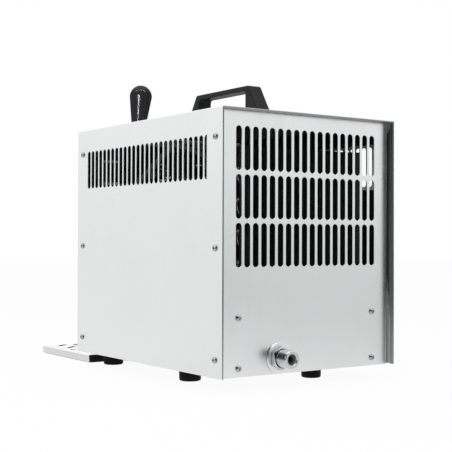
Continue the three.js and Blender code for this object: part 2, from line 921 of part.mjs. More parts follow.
function tapLever() {
  const steps = ballSides;
  const profile = [];
  const neck = Math.acos(stemRadius / ballRadius);
  for (let i = 0; i <= steps; i += 1) {
    const angle = -quarter + (neck + quarter) * (i / steps);
    profile.push([i === 0 ? 0 : ballRadius * Math.cos(angle), ballRadius * Math.sin(angle)]);
  }
  profile.push(
    [stemRadius, stemCollarStart],
    [stemCollarRadius, stemCollarStart],
    [stemCollarRadius, stemCollarStart + stemCollarHeight],
    [stemRadius, stemCollarStart + stemCollarHeight],
    [stemRadius, stemLength],
    [0, stemLength],
  );
  add("tap_lever", atPivot(turned(profile, smallSides, "up", [0, 0, 0])), chrome);
}

// The outline of the knob: radius and height above its lower end.
function knobOutline() {
  const outline = [
    [0, 0],
    [knobBottomRadius, 0],
    [knobNeckRadius, knobNeckHeight],
    [knobMiddleRadius, knobMiddleHeight],
    [knobShoulderRadius, knobShoulderHeight],
  ];
  const steps = domeSides;
  for (let i = 1; i <= steps; i += 1) {
    const angle = quarter * (i / steps);
    const rise = (knobHeight - knobShoulderHeight) * Math.sin(angle);
    outline.push([i === steps ? 0 : knobShoulderRadius * Math.cos(angle), knobShoulderHeight + rise]);
  }
  return outline;
}

function tapKnob() {
  const knob = turned(knobOutline(), roundSides, "up", [0, 0, 0]);
  const run = knobShoulderHeight - knobMiddleHeight;
  const lean = degrees(Math.atan2(knobShoulderRadius - knobMiddleRadius, run));
  const flat = block(
    [0, -knobShoulderRadius, -run - knobMiddleHeight],
    [knobShoulderRadius, knobShoulderRadius, knobFluteTop - knobShoulderHeight],
  );
  const flutes = roundCircle(knobFlutes).map((angle) =>
    flat.rotate([0, lean, 0])
      .translate([knobShoulderRadius - knobFluteDepth, 0, knobShoulderHeight])
      .rotate([0, 0, angle]));
  const depth = stemLength - knobStart + knobSocketClearance;
  const socket = rod(stemRadius + knobSocketClearance, -overrun, depth, smallSides, "up", [0, 0, 0]);
  const solid = cut(knob, [...flutes, socket]).translate([0, 0, knobStart]);
  add("tap_knob", atPivot(solid), glossBlack);
}

// The flow lever on the tap's right side, hanging down at rest.
function flowLever() {
  const start = barrelRadius + seat;
  const y = frontFace - flowSpindleReach;
  const outer = start + flowHubThickness;
  const inner = outer - flowArmThickness;
  const shape = slotShape(y, tapZ - flowArmLength / 2 + flowArmWidth / 2, flowArmWidth, flowArmLength);
  add("flow_lever", joined([
    rod(flowHubRadius, start, outer, smallSides, "right", [0, y, tapZ]),
    rod(flowSpindleRadius, start - flowSpindleDepth, outer, screwSides, "right", [0, y, tapZ]),
    prismAlongX(shape, inner, outer),
  ]), chrome);
}

// Drip tray: the pan stands on the counter, and the grid is a lid with skirts round it, open at the back.
const trayRear = frontY - trayGap;
const trayFront = frontY - trayReach;
const panInset = gridSheet + seat;
const panRim = trayHeight - gridSheet - seat;

function roundedRectangle(x, y0, y1, corner) {
  const shape = new THREE.Shape();
  shape.absarc(x - corner, y0 + corner, corner, -quarter, 0);
  shape.absarc(x - corner, y1 - corner, corner, 0, quarter);
  shape.absarc(-x + corner, y1 - corner, corner, quarter, 2 * quarter);
  shape.absarc(-x + corner, y0 + corner, corner, 2 * quarter, 3 * quarter);
  shape.closePath();
  return shape;
}

function dripPan() {
  const x = trayWidth / 2 - panInset;
  const y0 = trayFront + panInset;
  const outside = prismUp(roundedRectangle(x, y0, trayRear, panCorner), 0, panRim);
  const hollow = roundedRectangle(x - panWall, y0 + panWall, trayRear - panWall, panCorner - panWall);
  const inside = prismUp(hollow, panFloor, panRim + overrun);
  const hooks = [-1, 1].flatMap((side) => {
    const left = side * (trayWidth / 2 - hookInset) - hookWidth / 2;
    const right = left + hookWidth;
    const rear = trayRear + hookReach;
    return [
      block([left, trayRear - panWall, hookHeight], [right, rear, hookHeight + hookThickness]),
      block([left, rear - hookThickness, hookHeight], [right, rear, baseBottom - seat]),
    ];
  });
  add("drip_pan", joined([outside.subtract(inside), ...hooks]), blackPlastic);
}

// Slots lie in rows across the grid: short straight ones in the middle row, and leaning ones in the others.
function gridSlots() {
  const middle = (trayFront + trayRear) / 2;
  const columns = Math.floor((trayWidth / 2 - gridMargin) / gridColumnPitch);
  const rows = Math.floor(((trayRear - trayFront) / 2 - gridMargin) / gridRowPitch);
  const slots = [];
  function place(x, y, length, tilt) {
    const slot = slotShape(0, 0, gridSlotWidth, length);
    slots.push(prismUp(slot, 0, trayHeight + overrun)
      .rotate([0, 0, tilt - degrees(quarter)])
      .translate([x, middle + y, panRim]));
  }
  for (let column = -columns; column <= columns; column += 1) {
    place(column * gridColumnPitch, 0, gridDashLength, 0);
  }
  for (let row = 1; row <= rows; row += 1) {
    for (let column = 1; column <= columns; column += 1) {
      const x = (column - 1 / 2) * gridColumnPitch;
      const y = row * gridRowPitch;
      for (const side of [-1, 1]) {
        place(side * x, -y, gridSlotLength, side * gridSlotTilt);
        place(side * x, y, gridSlotLength, side * gridSlotTilt);
      }
    }
  }
  return slots;
}

function dripGrid() {
  const hood = hoodShape(trayWidth, gridSkirtGap, trayHeight, gridSheet, gridBend);
  const lid = prismAlongY(hood, trayFront, trayRear);
  const x = trayWidth / 2 - gridBend;
  const top = trayHeight - gridSheet / 2;
  const skirt = block([-x, trayFront, gridSkirtGap], [x, trayFront + gridSheet, top]);
  add("drip_grid", cut(lid.add(skirt), gridSlots()), steel);
}

// Beer inlet: pieces run back from the rear panel's face.
const onRear = [inletX, rearFace, inletZ];

function beerInlet() {
  const washerEnd = seat + inletWasherThickness;
  const nutStart = washerEnd + seat;
  const hole = inletRadius + inletClearance;
  const end = rearRecess + inletReach;
  const behind = -frameSheet - seat;
  const collarEnd = behind - inletCollarThickness;
  const stubEnd = collarEnd - inletStubLength;
  const washer = ring(hole, inletWasherRadius, seat, washerEnd, roundSides, "rear", onRear);
  add("inlet_washer", washer, chrome);
  const nut = hexNut(hole, inletNutRadius, nutStart, nutStart + inletNutThickness, "rear", onRear);
  add("inlet_nut", nut, chrome);
  const profile = [
    [inletBore, stubEnd],
    [inletStubRadius, stubEnd],
    [inletStubRadius, collarEnd],
    [inletCollarRadius, collarEnd],
    [inletCollarRadius, behind],
    [inletRadius, behind],
    [inletRadius, end - inletNoseLength],
    [inletNoseRadius, end],
    [inletMouthRadius, end],
    [inletBore, end - inletMouthDepth],
    [inletBore, stubEnd],
  ];
  add("inlet_fitting", turned(profile, mediumSides, "rear", onRear), chrome);
}

// The block is an aluminium casting with the beer and refrigerant coils cast in.
function coolingBlock() {
  const x = blockWidth / 2;
  add("cooling_block", block([-x, blockFront, blockBottom], [x, blockRear, blockTop]), castAluminium);
}

// Where lines enter the block. The suction pipe leaves its stub a little to the right of the compressor.
const stubX = compressorX + compressorRadius + stubLength + seat;
const lineInZ = blockBottom + lineInHeight;
const lineOutY = blockFront + lineOutShare * (blockRear - blockFront);
const suctionX = stubX + suctionReach;
const suctionZ = compressorBottom + suctionStubHeight + suctionClimb;
const drierX = blockWidth / 2 - drierInset;
const drierZ = condenserBottom + liquidHeaderRise;

function foamBox() {
  const x = foamWidth / 2;
  const room = blockWidth / 2 + seat;
  const outside = block([-x, foamFront, foamBottom], [x, foamRear, foamTop]);
  const low = [-room, foamFront + foamWall, foamBottom + foamWall];
  const inside = block(low, [room, foamRear - foamWall, foamTop + overrun]);
  const hole = lineRadius + lineClearance;
  const holes = [[inletX, lineInZ], [suctionX, suctionZ], [drierX, drierZ]].map(([holeX, z]) =>
    rod(hole, blockRear - overrun, foamRear + overrun, smallSides, "rear", [holeX, 0, z]));
  add("foam_tub", cut(outside, [inside, ...holes]), foam);
  const lid = block([-x, foamFront, foamTop + seat], [x, foamRear, lidTop]);
  const lidHole = rod(hole, foamTop, lidTop + overrun, smallSides, "up", [0, lineOutY, 0]);
  add("foam_lid", lid.subtract(lidHole), foam);
}

function beerLines() {
  const start = rearInside - seat - inletCollarThickness - inletStubLength - seat;
  const turn = start - lineInDip;
  add("beer_line_in", pipe([
    [inletX, start, inletZ],
    [inletX, turn, inletZ],
    [inletX, turn - lineInClimb, lineInZ],
    [inletX, blockRear + seat, lineInZ],
  ], lineRadius, lineBend), steel);
  add("beer_line_out", pipe([
    [0, lineOutY, blockTop + seat],
    [0, lineOutY, tapZ],
    [0, frontFace + shankInside + seat, tapZ],
  ], lineRadius, lineBend), steel);
}

function compressor() {
  const place = [compressorX, compressorY, compressorBottom];
  const r = compressorRadius;
  const seamLow = (compressorHeight - compressorSeamHeight) / 2;
  const seamHigh = seamLow + compressorSeamHeight;
  const shell = turned([
    [0, 0],
    [compressorDomeRadius, 0],
    [r, compressorDome],
    [r, seamLow],
    [r + compressorSeam, seamLow],
    [r + compressorSeam, seamHigh],
    [r, seamHigh],
    [r, compressorHeight - compressorDome],
    [compressorDomeRadius, compressorHeight],
    [0, compressorHeight],
  ], mediumSides, "up", place);
  const x = compressorPlateWidth / 2;
  const y = compressorPlateDepth / 2;
  const plate = block([-x, -y, 0], [x, y, compressorPlateThickness]).translate(place);
  const grommets = [[-1, -1], [-1, 1], [1, -1], [1, 1]].map(([sideX, sideY]) =>
    rod(grommetRadius, -grommetHeight, compressorPlateThickness + overrun, screwSides, "up", [
      compressorX + sideX * (x - grommetInset),
      compressorY + sideY * (y - grommetInset),
      compressorBottom,
    ]));
  const stubEnd = r + stubLength;
  const stubs = [
    rod(stubRadius, r / 2, stubEnd, screwSides, "right",
      [compressorX, compressorY, compressorBottom + suctionStubHeight]),
    rod(stubRadius, r / 2, stubEnd, screwSides, "right",
      [compressorX, compressorY - gasStubInset, compressorBottom + gasStubHeight]),
  ];
  add("compressor", joined([shell, plate, ...grommets, ...stubs]), blackPaint);
  const coverX = compressorX - r - compressorSeam - seat;
  const coverZ = compressorBottom + terminalCoverRise;
  add("compressor_terminal_cover", block(
    [coverX - terminalCoverWidth, compressorY - terminalCoverDepth / 2, coverZ],
    [coverX, compressorY + terminalCoverDepth / 2, coverZ + terminalCoverHeight],
  ), blackPlastic);
}

// The condenser: upright fins in front of and behind a bank of tubes.
function condenser() {
  const middle = (condenserFront + condenserRear) / 2;
  const core = condenserCoreDepth / 2;
  const pitch = (condenserWidth - finThickness) / (finCount - 1);
  const frontEdge = [];
  const rearEdge = [];
  for (let i = 0; i < finCount; i += 1) {
    const x = condenserLeft + i * pitch;
    const end = x + finThickness;
    frontEdge.push([x, condenserFront], [end, condenserFront]);
    rearEdge.push([x, condenserRear], [end, condenserRear]);
    if (i < finCount - 1) {
      frontEdge.push([end, middle - core], [x + pitch, middle - core]);
      rearEdge.push([end, middle + core], [x + pitch, middle + core]);
    }
  }
  const shape = outline([...frontEdge, ...rearEdge.reverse()]);
  add("condenser", prismUp(shape, condenserBottom, condenserTop), blackPaint);
}

// An angle screwed to the rear panel, with a shelf under the condenser and the fan shroud.
function condenserBracket() {
  const x = sideX - bracketMargin;
  const rear = rearInside - seat;
  const low = shelfTop - bracketLeg;
  const leg = block([-x, rear - frameSheet, low], [x, rear, shelfTop]);
  const shelf = block([-x, rear - bracketShelf, shelfTop - frameSheet], [x, rear, shelfTop]);
  const radius = screwShankRadius + screwHoleClearance;
  const holes = [-1, 1].map((side) =>
    rod(radius, rear - overrun, rear + overrun, screwSides, "rear",
      [side * rearScrewX, 0, rearScrewHeights.high]));
  add("condenser_bracket", cut(leg.add(shelf), holes), galvanised);
}

// The shroud stands on the shelf. Two arms and a bar carry the motor in front of it.
function fanShroud() {
  const left = fanX - shroudWidth / 2;
  const right = fanX + shroudWidth / 2;
  const bore = fanRadius + shroudClearance;
  const place = [fanX, shroudRear, fanZ];
  const collarEnd = frameSheet + shroudCollar;
  const plate = block([left, shroudFront, condenserBottom], [right, shroudRear, condenserTop]);
  const collar = rod(bore + frameSheet, 0, collarEnd, roundSides, "front", place);
  const bar = shroudWidth / 2 - armInset;
  const barRear = motorFront - seat;
  const low = fanZ - armWidth / 2;
  const high = fanZ + armWidth / 2;
  const arms = [-1, 1].map((side) => {
    const outer = fanX + side * bar;
    const inner = outer - side * armThickness;
    const ends = [Math.min(outer, inner), Math.max(outer, inner)];
    return block([ends[0], barRear - armThickness, low], [ends[1], shroudRear, high]);
  });
  const beam = block([fanX - bar, barRear - armThickness, low], [fanX + bar, barRear, high]);
  const opening = rod(bore, -overrun, collarEnd + overrun, roundSides, "front", place);
  add("fan_shroud", joined([plate.add(collar).subtract(opening), ...arms, beam]), galvanised);
}

function fanMotor() {
  const place = [fanX, motorRear, fanZ];
  const shaftEnd = motorGap + fanHubDepth - shaftClearance;
  const profile = [
    [0, 0],
    [motorRadius, 0],
    [motorRadius, motorLength],
    [0, motorLength],
  ];
  const body = turned(profile, mediumSides, "front", place);
  add("fan_motor", body.add(rod(shaftRadius, 0, shaftEnd, screwSides, "rear", place).add(
    rod(shaftRadius, 0, motorLength / 2, screwSides, "front", place))), blackPaint);
}

function fanRotor() {
  const place = [fanX, hubRear, fanZ];
  const hub = rod(fanHubRadius, 0, fanHubDepth, mediumSides, "front", [0, 0, 0]);
  const start = fanHubRadius - bladeRoot;
  const half = bladeChord / 2;
  const thin = bladeThickness / 2;
  const blade = block([start, -thin, -half], [fanRadius, thin, half])
    .rotate([bladePitch, 0, 0])
    .translate([0, -fanHubDepth / 2, 0]);
  const blades = roundCircle(bladeCount).map((angle) => blade.rotate([0, angle, 0]));
  const hole = shaftRadius + shaftClearance;
  const bore = rod(hole, -overrun, fanHubDepth + overrun, screwSides, "front", [0, 0, 0]);
  add("fan_rotor", cut(joined([hub, ...blades]), [bore]).translate(place), blackPlastic);
}

function refrigerantPipes() {
  const gasY = compressorY - gasStubInset;
  const wallX = sideX - coverSheet - gasPipeWallGap;
  add("hot_gas_pipe", pipe([
    [stubX, gasY, compressorBottom + gasStubHeight],
    [wallX, gasY, compressorBottom + gasStubHeight],
    [wallX, rearY - gasPipeFront, caseTop - gasPipeLow],
    [wallX, rearY - gasPipeRear, caseTop - gasPipeHigh],
    [headerX, condenserFront - headerRun, condenserTop - gasHeaderDrop],
    [headerX, condenserFront - seat, condenserTop - gasHeaderDrop],
  ], pipeRadius, pipeBend), foam);
  add("suction_pipe", pipe([
    [suctionX, blockRear + seat, suctionZ],
    [suctionX, compressorY, suctionZ],
    [suctionX, compressorY, compressorBottom + suctionStubHeight],
    [stubX, compressorY, compressorBottom + suctionStubHeight],
  ], pipeRadius, pipeBend - overrun), copper);
}

// The filter drier with the pipes soldered into its ends.
function filterDrier() {
  const start = rearY - drierStart;
  const end = start - drierLength;
  const turn = rearY - liquidTurn;
  const shell = turned([
    [0, 0],
    [pipeRadius, 0],
    [drierRadius, drierTaper],
    [drierRadius, drierLength - drierTaper],
    [pipeRadius, drierLength],
    [0, drierLength],
  ], smallSides, "front", [drierX, start, drierZ]);
  const inlet = pipe([
    [headerX, condenserFront - seat, drierZ],
    [headerX, turn, drierZ],
    [drierX, turn, drierZ],
    [drierX, start - drierTaper, drierZ],
  ], pipeRadius / 2, pipeBend - overrun);
  const outlet = rod(pipeRadius / 2, 0, end + drierTaper - blockRear - seat, pipeSides, "front",
    [drierX, end + drierTaper, drierZ]);
  add("filter_drier", joined([shell, inlet, outlet]), copper);
}

function thermostat() {
  const place = [-controlX, frontFace, tapZ];
  const behind = frontInside + seat;
  const x = thermostatWidth / 2;
  const z = thermostatHeight / 2;
  const reach = thermostatShaftReach;
  const shaft = rod(thermostatShaftRadius, -frameSheet - overrun, reach, smallSides, "front", place);
  const body = block(
    [place[0] - x, behind, tapZ - z],
    [place[0] + x, behind + thermostatDepth, tapZ + z],
  );
  add("thermostat_body", body.add(shaft), blackPlastic);
  const start = dialGap;
  const dial = turned([
    [0, start],
    [dialRadius, start],
    [dialRadius, dialRim],
    [dialBodyRadius, dialRim],
    [dialFaceRadius, dialHeight],
    [0, dialHeight],
  ], roundSides, "front", place);
  const pointer = block(
    [place[0] - dialPointerWidth / 2, frontFace - dialHeight - dialPointerHeight, tapZ],
    [place[0] + dialPointerWidth / 2, frontFace - dialRim, tapZ + dialBodyRadius],
  );
  const bore = rod(thermostatShaftRadius + seat, -overrun, reach + seat, smallSides, "front", place);
  add("thermostat_knob", dial.add(pointer).subtract(bore), blackPlastic);
}

function powerSwitch() {
  const x = controlX;
  const pocketX = rockerWidth / 2 + rockerClearance;
  const pocketZ = rockerHeight / 2 + rockerEndClearance;
  const front = frontFace - seat - switchBezelThickness;
  const bezel = block(
    [x - switchBezelWidth / 2, front, tapZ - switchBezelHeight / 2],
    [x + switchBezelWidth / 2, frontFace - seat, tapZ + switchBezelHeight / 2],
  );
  const body = block(
    [x - switchBodyWidth / 2, front, tapZ - switchBodyHeight / 2],
    [x + switchBodyWidth / 2, front + switchBodyDepth, tapZ + switchBodyHeight / 2],
  );
  const pocket = block(
    [x - pocketX, front - overrun, tapZ - pocketZ],
    [x + pocketX, front + switchPocketDepth, tapZ + pocketZ],
  );
  add("switch_housing", bezel.add(body).subtract(pocket), blackPlastic);
  const half = rockerHeight / 2;
  const back = rockerThickness / 2;
  const shape = outline([
    [-back - rockerCrown, -half],
    [back, -half],
    [back, half],
    [-back - rockerCrown, half],
    [-back, 0],
  ]);
  const rocker = prismAlongX(shape, -rockerWidth / 2, rockerWidth / 2)
    .rotate([-rockerTilt, 0, 0])
    .translate([x, front + back, tapZ]);
  add("switch_rocker", rocker, glossBlack);
}

function cableGland() {
  const place = [glandX, rearY - glandInset, 0];
  const collarTop = baseBottom - seat;
  const collarLow = collarTop - glandCollarThickness;
  const profile = [
    [glandBore, collarLow - glandTailLength],
    [glandTailRadius, collarLow - glandTailLength],
    [glandCollarRadius, collarLow],
    [glandCollarRadius, collarTop],
    [glandRadius, collarTop],
    [glandRadius, baseTop + glandTop],
    [glandBore, baseTop + glandTop],
    [glandBore, collarLow - glandTailLength],
  ];
  add("cable_gland", turned(profile, smallSides, "up", place), blackPlastic);
}

wrapCover();
frontPanel();
rearPanel();
basePlate();
screws();
rubberFeet();
carryHandle();
tapMounting();
tapCouplingNut();
tapBody();
tapBonnet();
tapLever();
tapKnob();
flowLever();
dripPan();
dripGrid();
beerInlet();
coolingBlock();
foamBox();
beerLines();
compressor();
condenser();
condenserBracket();
fanShroud();
fanMotor();
fanRotor();
refrigerantPipes();
filterDrier();
thermostat();
powerSwitch();
cableGland();

export default part;
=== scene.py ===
from math import acos, atan2, cos, hypot, pi, radians, sin, sqrt, tan

import bmesh
import bpy
from mathutils import Matrix, Vector
from mathutils.geometry import tessellate_polygon


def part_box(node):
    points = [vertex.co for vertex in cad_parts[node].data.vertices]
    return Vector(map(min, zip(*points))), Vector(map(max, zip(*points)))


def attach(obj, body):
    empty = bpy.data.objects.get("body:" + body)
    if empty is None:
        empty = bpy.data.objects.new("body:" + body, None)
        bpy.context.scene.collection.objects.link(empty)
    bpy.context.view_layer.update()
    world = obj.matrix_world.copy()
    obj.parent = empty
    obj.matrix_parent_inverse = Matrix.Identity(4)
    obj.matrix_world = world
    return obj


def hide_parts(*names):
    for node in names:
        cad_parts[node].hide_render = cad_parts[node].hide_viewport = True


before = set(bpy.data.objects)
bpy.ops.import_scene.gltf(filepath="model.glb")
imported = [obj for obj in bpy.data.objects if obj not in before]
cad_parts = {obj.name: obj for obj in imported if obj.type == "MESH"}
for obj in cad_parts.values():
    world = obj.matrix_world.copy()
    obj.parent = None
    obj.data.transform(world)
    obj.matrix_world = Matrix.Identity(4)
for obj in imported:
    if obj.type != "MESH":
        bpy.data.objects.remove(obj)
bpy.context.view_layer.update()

MM = 0.001
TURN = 2 * pi

# Sizes in millimetres and angles in degrees, as in the part's source. The origin is on the counter, +Y is
# the back.
CASE_SIDE = 142.0
CASE_REAR = 267.0
CASE_FRONT = -117.0
CASE_LOW = 20.0
CASE_TOP = 350.0
COVER_SHEET = 1.0
COVER_BEND = 1.5
HEM_WIDTH = 6.6
PANEL_SIDE = 140.7
PANEL_SHEET = 1.2
PANEL_TOP = 348.7
PANEL_FLANGE = 26.0
PANEL_LOW = 19.3
REAR_FACE = 256.0
REAR_BEND = 4.6
FRONT_FACE = -115.0
FRONT_BEND = 1.8
VENT_WIDTH = 8.7
VENT_LENGTH = 55.0
SIDE_VENTS = 27
SIDE_VENT_PITCH = 12.0
SIDE_VENT_Z = 290.0
REAR_VENTS = 18
REAR_VENT_PITCH = 13.0
REAR_VENT_ROWS = (301.5, 241.5, 181.5)
SCREW_Y = (CASE_FRONT + 16.5, CASE_REAR - 16.5)
SCREW_Z = (42.0, 178.0, 314.0)
REAR_SCREW_X = 110.5
REAR_SCREW_Z = (30.0, 92.0)
SCREW_TURN = 0.83  # in radians, from one screw's recess to the next one's
HANDLE_Y = 73.0
HANDLE_Z = 350.3
TAP_Z = 290.0
TAP_Y = -188.0
PIVOT_Z = 326.0
LEVER_TILT = 8.0
KNOB_SEAT = 20.5
KNOB_SHOULDER = 75.5
TAP_SEAT = (0, FRONT_FACE, TAP_Z)
TAP_MIDDLE = (0, TAP_Y, TAP_Z)
CONTROL_X = 88.0
INLET_X = 47.43
INLET_Z = 39.3
TRAY_SIDE = 122.0
TRAY_FRONT = -283.0
TRAY_REAR = -117.6
TRAY_TOP = 12.0
SLOT_PITCH, SLOT_ROW_PITCH = 27.0, 33.0
SLOT_WIDTH, SLOT_LENGTH, SLOT_LEAN = 7.5, 28.0, 38.0
BEER_LINE_RADIUS = 4.75
PIPE_RADIUS = 4.0
FEET = {
    "foot_front_left": (-98, -84),
    "foot_front_right": (98, -84),
    "foot_rear_left": (-98, 128),
    "foot_rear_right": (98, 128),
    "foot_rear_middle": (-58, 192),
}

# The photograph's camera: its place in millimetres, its turns in degrees and its lens on a 36 mm sensor.
CAMERA_PLACE = (840.27, 1273.47, 190.35)
CAMERA_YAW, CAMERA_PITCH, CAMERA_ROLL = 34.93, 0.67, 0.18
CAMERA_LENS = 81.227

# The tent of light: its brightness for metal and for plain surfaces, and the dim gap, as ranges for a ramp.
TENT = (0.0, 0.35, 0.97, 1.22)
PLAIN = 0.62
GAP = 0.02
GAP_HEADING = 45.0
GAP_SIDES = (0.35, 0.6)
GAP_LOW = (-0.06, 0.04)
GAP_HIGH = (0.93, 0.75)
FLOOR_WIDTH = 12.0
FLOOR_FADE = (0.45, 1.2, 1.0, 0.2)
FLOOR_HEADING = 165.0
FLOOR_SHADE = (0.0, 0.9, 1.0, 0.64)

# The upright strip light that the knob mirrors: its heading from the knob in degrees, and in metres the
# height of its middle and its length.
STRIP_HEADING = 55.2
STRIP_Z = 0.07
STRIP_LENGTH = 0.17

scene = bpy.context.scene
GROUPS = {}
FINISH = {}


def added(name, data):
    """A new object of the scene."""
    obj = bpy.data.objects.new(name, data)
    scene.collection.objects.link(obj)
    return obj


def make_camera():
    yaw, pitch, roll = radians(CAMERA_YAW), radians(CAMERA_PITCH), radians(CAMERA_ROLL)
    ahead = Vector((-sin(yaw) * cos(pitch), -cos(yaw) * cos(pitch), sin(pitch)))
    right = ahead.cross(Vector((0, 0, 1))).normalized()
    up = right.cross(ahead)
    across, upright = cos(roll) * right + sin(roll) * up, cos(roll) * up - sin(roll) * right
    data = bpy.data.cameras.new("photo_camera")
    data.sensor_width, data.lens = 36.0, CAMERA_LENS
    data.clip_start, data.clip_end = 0.05, 60
    camera = added("photo_camera", data)
    turn = Matrix((across, upright, -ahead)).transposed()
    camera.matrix_world = Matrix.Translation(Vector(CAMERA_PLACE) * MM) @ turn.to_4x4()
    scene.camera = camera


# ---------------------------------------------------------------- materials

class Graph:
    """A node tree with short ways to add and join its nodes."""

    def __init__(self, tree):
        self.tree = tree

    def add(self, kind, sockets=None, **settings):
        node = self.tree.nodes.new(kind)
        for name, value in settings.items():
            setattr(node, name, value)
        for name, value in (sockets or {}).items():
            self.feed(node.inputs[name], value)
        return node

    def feed(self, socket, value):
        if isinstance(value, bpy.types.NodeSocket):
            self.tree.links.new(value, socket)
        else:
            socket.default_value = (*value, 1.0) if socket.type == "RGBA" else value

    def maths(self, operation, a, b, clamp=False):
        return self.add("ShaderNodeMath", {0: a, 1: b}, operation=operation, use_clamp=clamp).outputs[0]

    def plus(self, a, b, clamp=False):
        return self.maths("ADD", a, b, clamp)

    def times(self, a, b, clamp=False):
        return self.maths("MULTIPLY", a, b, clamp)

    def shares(self, a, share_a, b, share_b):
        return self.plus(self.times(a, share_a), self.times(b, share_b))

    def vectors(self, operation, a, b):
        return self.add("ShaderNodeVectorMath", {0: a, 1: b}, operation=operation).outputs

    def ramp(self, value, low, high, to_low=0.0, to_high=1.0):
        return self.add("ShaderNodeMapRange", {"Value": value, "From Min": low, "From Max": high,
                                               "To Min": to_low, "To Max": to_high}).outputs["Result"]

    def mix(self, share, first, second):
        return self.add("ShaderNodeMix", {0: share, 6: first, 7: second}, data_type="RGBA").outputs[2]

    def place(self):
        return self.add("ShaderNodeTexCoord").outputs["Object"]

    def normal(self):
        return self.add("ShaderNodeNewGeometry").outputs["Normal"]

    def height(self, vector):
        return self.add("ShaderNodeSeparateXYZ", {"Vector": vector}).outputs["Z"]

    def noise(self, vector, scale, detail, rough):
        return self.add("ShaderNodeTexNoise", {"Vector": vector, "Scale": scale, "Detail": detail,
                                               "Roughness": rough}).outputs["Fac"]

    def cells(self, vector, scale):
        return self.add("ShaderNodeTexVoronoi", {"Vector": vector, "Scale": scale}).outputs

    def group(self, name, **values):
        """The outputs of a shared group, given its values."""
        sockets = {label.title(): value for label, value in values.items()}
        return self.add("ShaderNodeGroup", sockets, node_tree=GROUPS[name]).outputs

    def shade(self, colour, rough, height, depth):
        """Gives the material its colour, its roughness and a relief of some depth in metres."""
        bump = self.add("ShaderNodeBump", {"Height": height, "Distance": depth, "Strength": 1.0})
        inputs = self.tree.nodes["Principled BSDF"].inputs
        self.feed(inputs["Base Color"], colour)
        self.feed(inputs["Roughness"], rough)
        self.feed(inputs["Normal"], bump.outputs["Normal"])


def new_group(name, inputs, *outputs):
    """A shared effect that takes numbers or vectors and gives numbers."""
    tree = bpy.data.node_groups.new(name, "ShaderNodeTree")
    for label, start in inputs.items():
        kind = "NodeSocketVector" if isinstance(start, tuple) else "NodeSocketFloat"
        tree.interface.new_socket(label, in_out="INPUT", socket_type=kind).default_value = start
    for label in outputs:
        tree.interface.new_socket(label, in_out="OUTPUT", socket_type="NodeSocketFloat")
    GROUPS[name] = tree
    g = Graph(tree)
    return g, g.add("NodeGroupInput").outputs, g.add("NodeGroupOutput").inputs


def make_sheet_grain():
    """Fine lines of a ground sheet along one direction, with slow unevenness under them."""
    g, given, out = new_group("sheet_grain", {"Stretch": (1.0, 1.0, 1.0), "Fineness": 2600.0},
                              "Lines", "Cloud")
    place = g.place()
    along = g.vectors("MULTIPLY", place, given["Stretch"])[0]
    fine = g.noise(along, given["Fineness"], 4.0, 0.7)
    broad = g.noise(along, g.times(given["Fineness"], 0.12), 3.0, 0.6)
    g.feed(out["Lines"], g.shares(fine, 0.65, broad, 0.35))
    g.feed(out["Cloud"], g.noise(place, 9.0, 3.0, 0.5))


def make_edge_wear_and_highlight():
    """A mask of edges, broken up by noise: worn edges, and painted highlights along edges."""
    g, given, out = new_group("edge_wear_and_highlight", {"Width": 0.0006, "Amount": 1.0}, "Mask")
    rounded = g.add("ShaderNodeBevel", {"Radius": given["Width"]}, samples=4).outputs[0]
    edge = g.ramp(g.vectors("DOT_PRODUCT", rounded, g.normal())["Value"], 0.995, 0.86)
    patches = g.ramp(g.noise(g.place(), 160.0, 4.0, 0.6), 0.42, 0.62)
    g.feed(out["Mask"], g.times(g.times(edge, patches), given["Amount"], clamp=True))


def make_settled_dust():
    """Dust that settles on faces that look up, and less on the rest."""
    g, given, out = new_group("settled_dust", {"Amount": 0.3, "Scale": 60.0}, "Mask")
    lying = g.ramp(g.height(g.normal()), 0.1, 0.95, 0.12, 1.0)
    specks = g.ramp(g.noise(g.place(), given["Scale"], 6.0, 0.7), 0.35, 0.75)
    g.feed(out["Mask"], g.times(g.times(lying, specks), given["Amount"], clamp=True))


def make_smudges():
    """Roughness that varies as wiped and touched surfaces do."""
    g, given, out = new_group("smudges", {"Clean": 0.1, "Touched": 0.2, "Scale": 30.0}, "Roughness")
    place = g.place()
    broad = g.noise(place, given["Scale"], 4.0, 0.55)
    wiped = g.noise(g.vectors("MULTIPLY", place, (1.0, 1.0, 0.25))[0], g.times(given["Scale"], 6.0), 2.0, 0.5)
    share = g.ramp(g.times(broad, g.plus(wiped, 0.5)), 0.3, 0.7)
    spread = g.maths("SUBTRACT", given["Touched"], given["Clean"])
    g.feed(out["Roughness"], g.plus(given["Clean"], g.times(share, spread)))


def make_moulding():
    """The fine spark-eroded texture of moulded plastic and rubber."""
    g, given, out = new_group("moulding", {"Fineness": 1800.0}, "Height", "Mottle")
    place = g.place()
    grains = g.cells(place, given["Fineness"])["Distance"]
    g.feed(out["Height"], g.plus(grains, g.noise(place, given["Fineness"], 2.0, 0.5)))
    g.feed(out["Mottle"], g.noise(place, 45.0, 5.0, 0.6))


def new_material(name, **shader):
    material = bpy.data.materials.new(name)
    material.use_nodes = True
    FINISH[name] = material
    g = Graph(material.node_tree)
    for label, value in shader.items():
        socket = label.replace("_", " ").title().replace("Ior", "IOR")
        g.feed(g.tree.nodes["Principled BSDF"].inputs[socket], value)
    return g


def steel(name, stretch, dark, light, clean, touched):
    g = new_material(name, metallic=1.0)
    grain = g.group("sheet_grain", stretch=stretch)
    tone = g.shares(grain["Lines"], 0.6, grain["Cloud"], 0.4)
    rough = g.group("smudges", clean=clean, touched=touched, scale=14.0)["Roughness"]
    streak = g.ramp(grain["Lines"], 0.3, 0.7, -0.02, 0.02)
    g.shade(g.mix(g.ramp(tone, 0.36, 0.64), dark, light), g.plus(rough, streak), grain["Lines"], 0.00001)


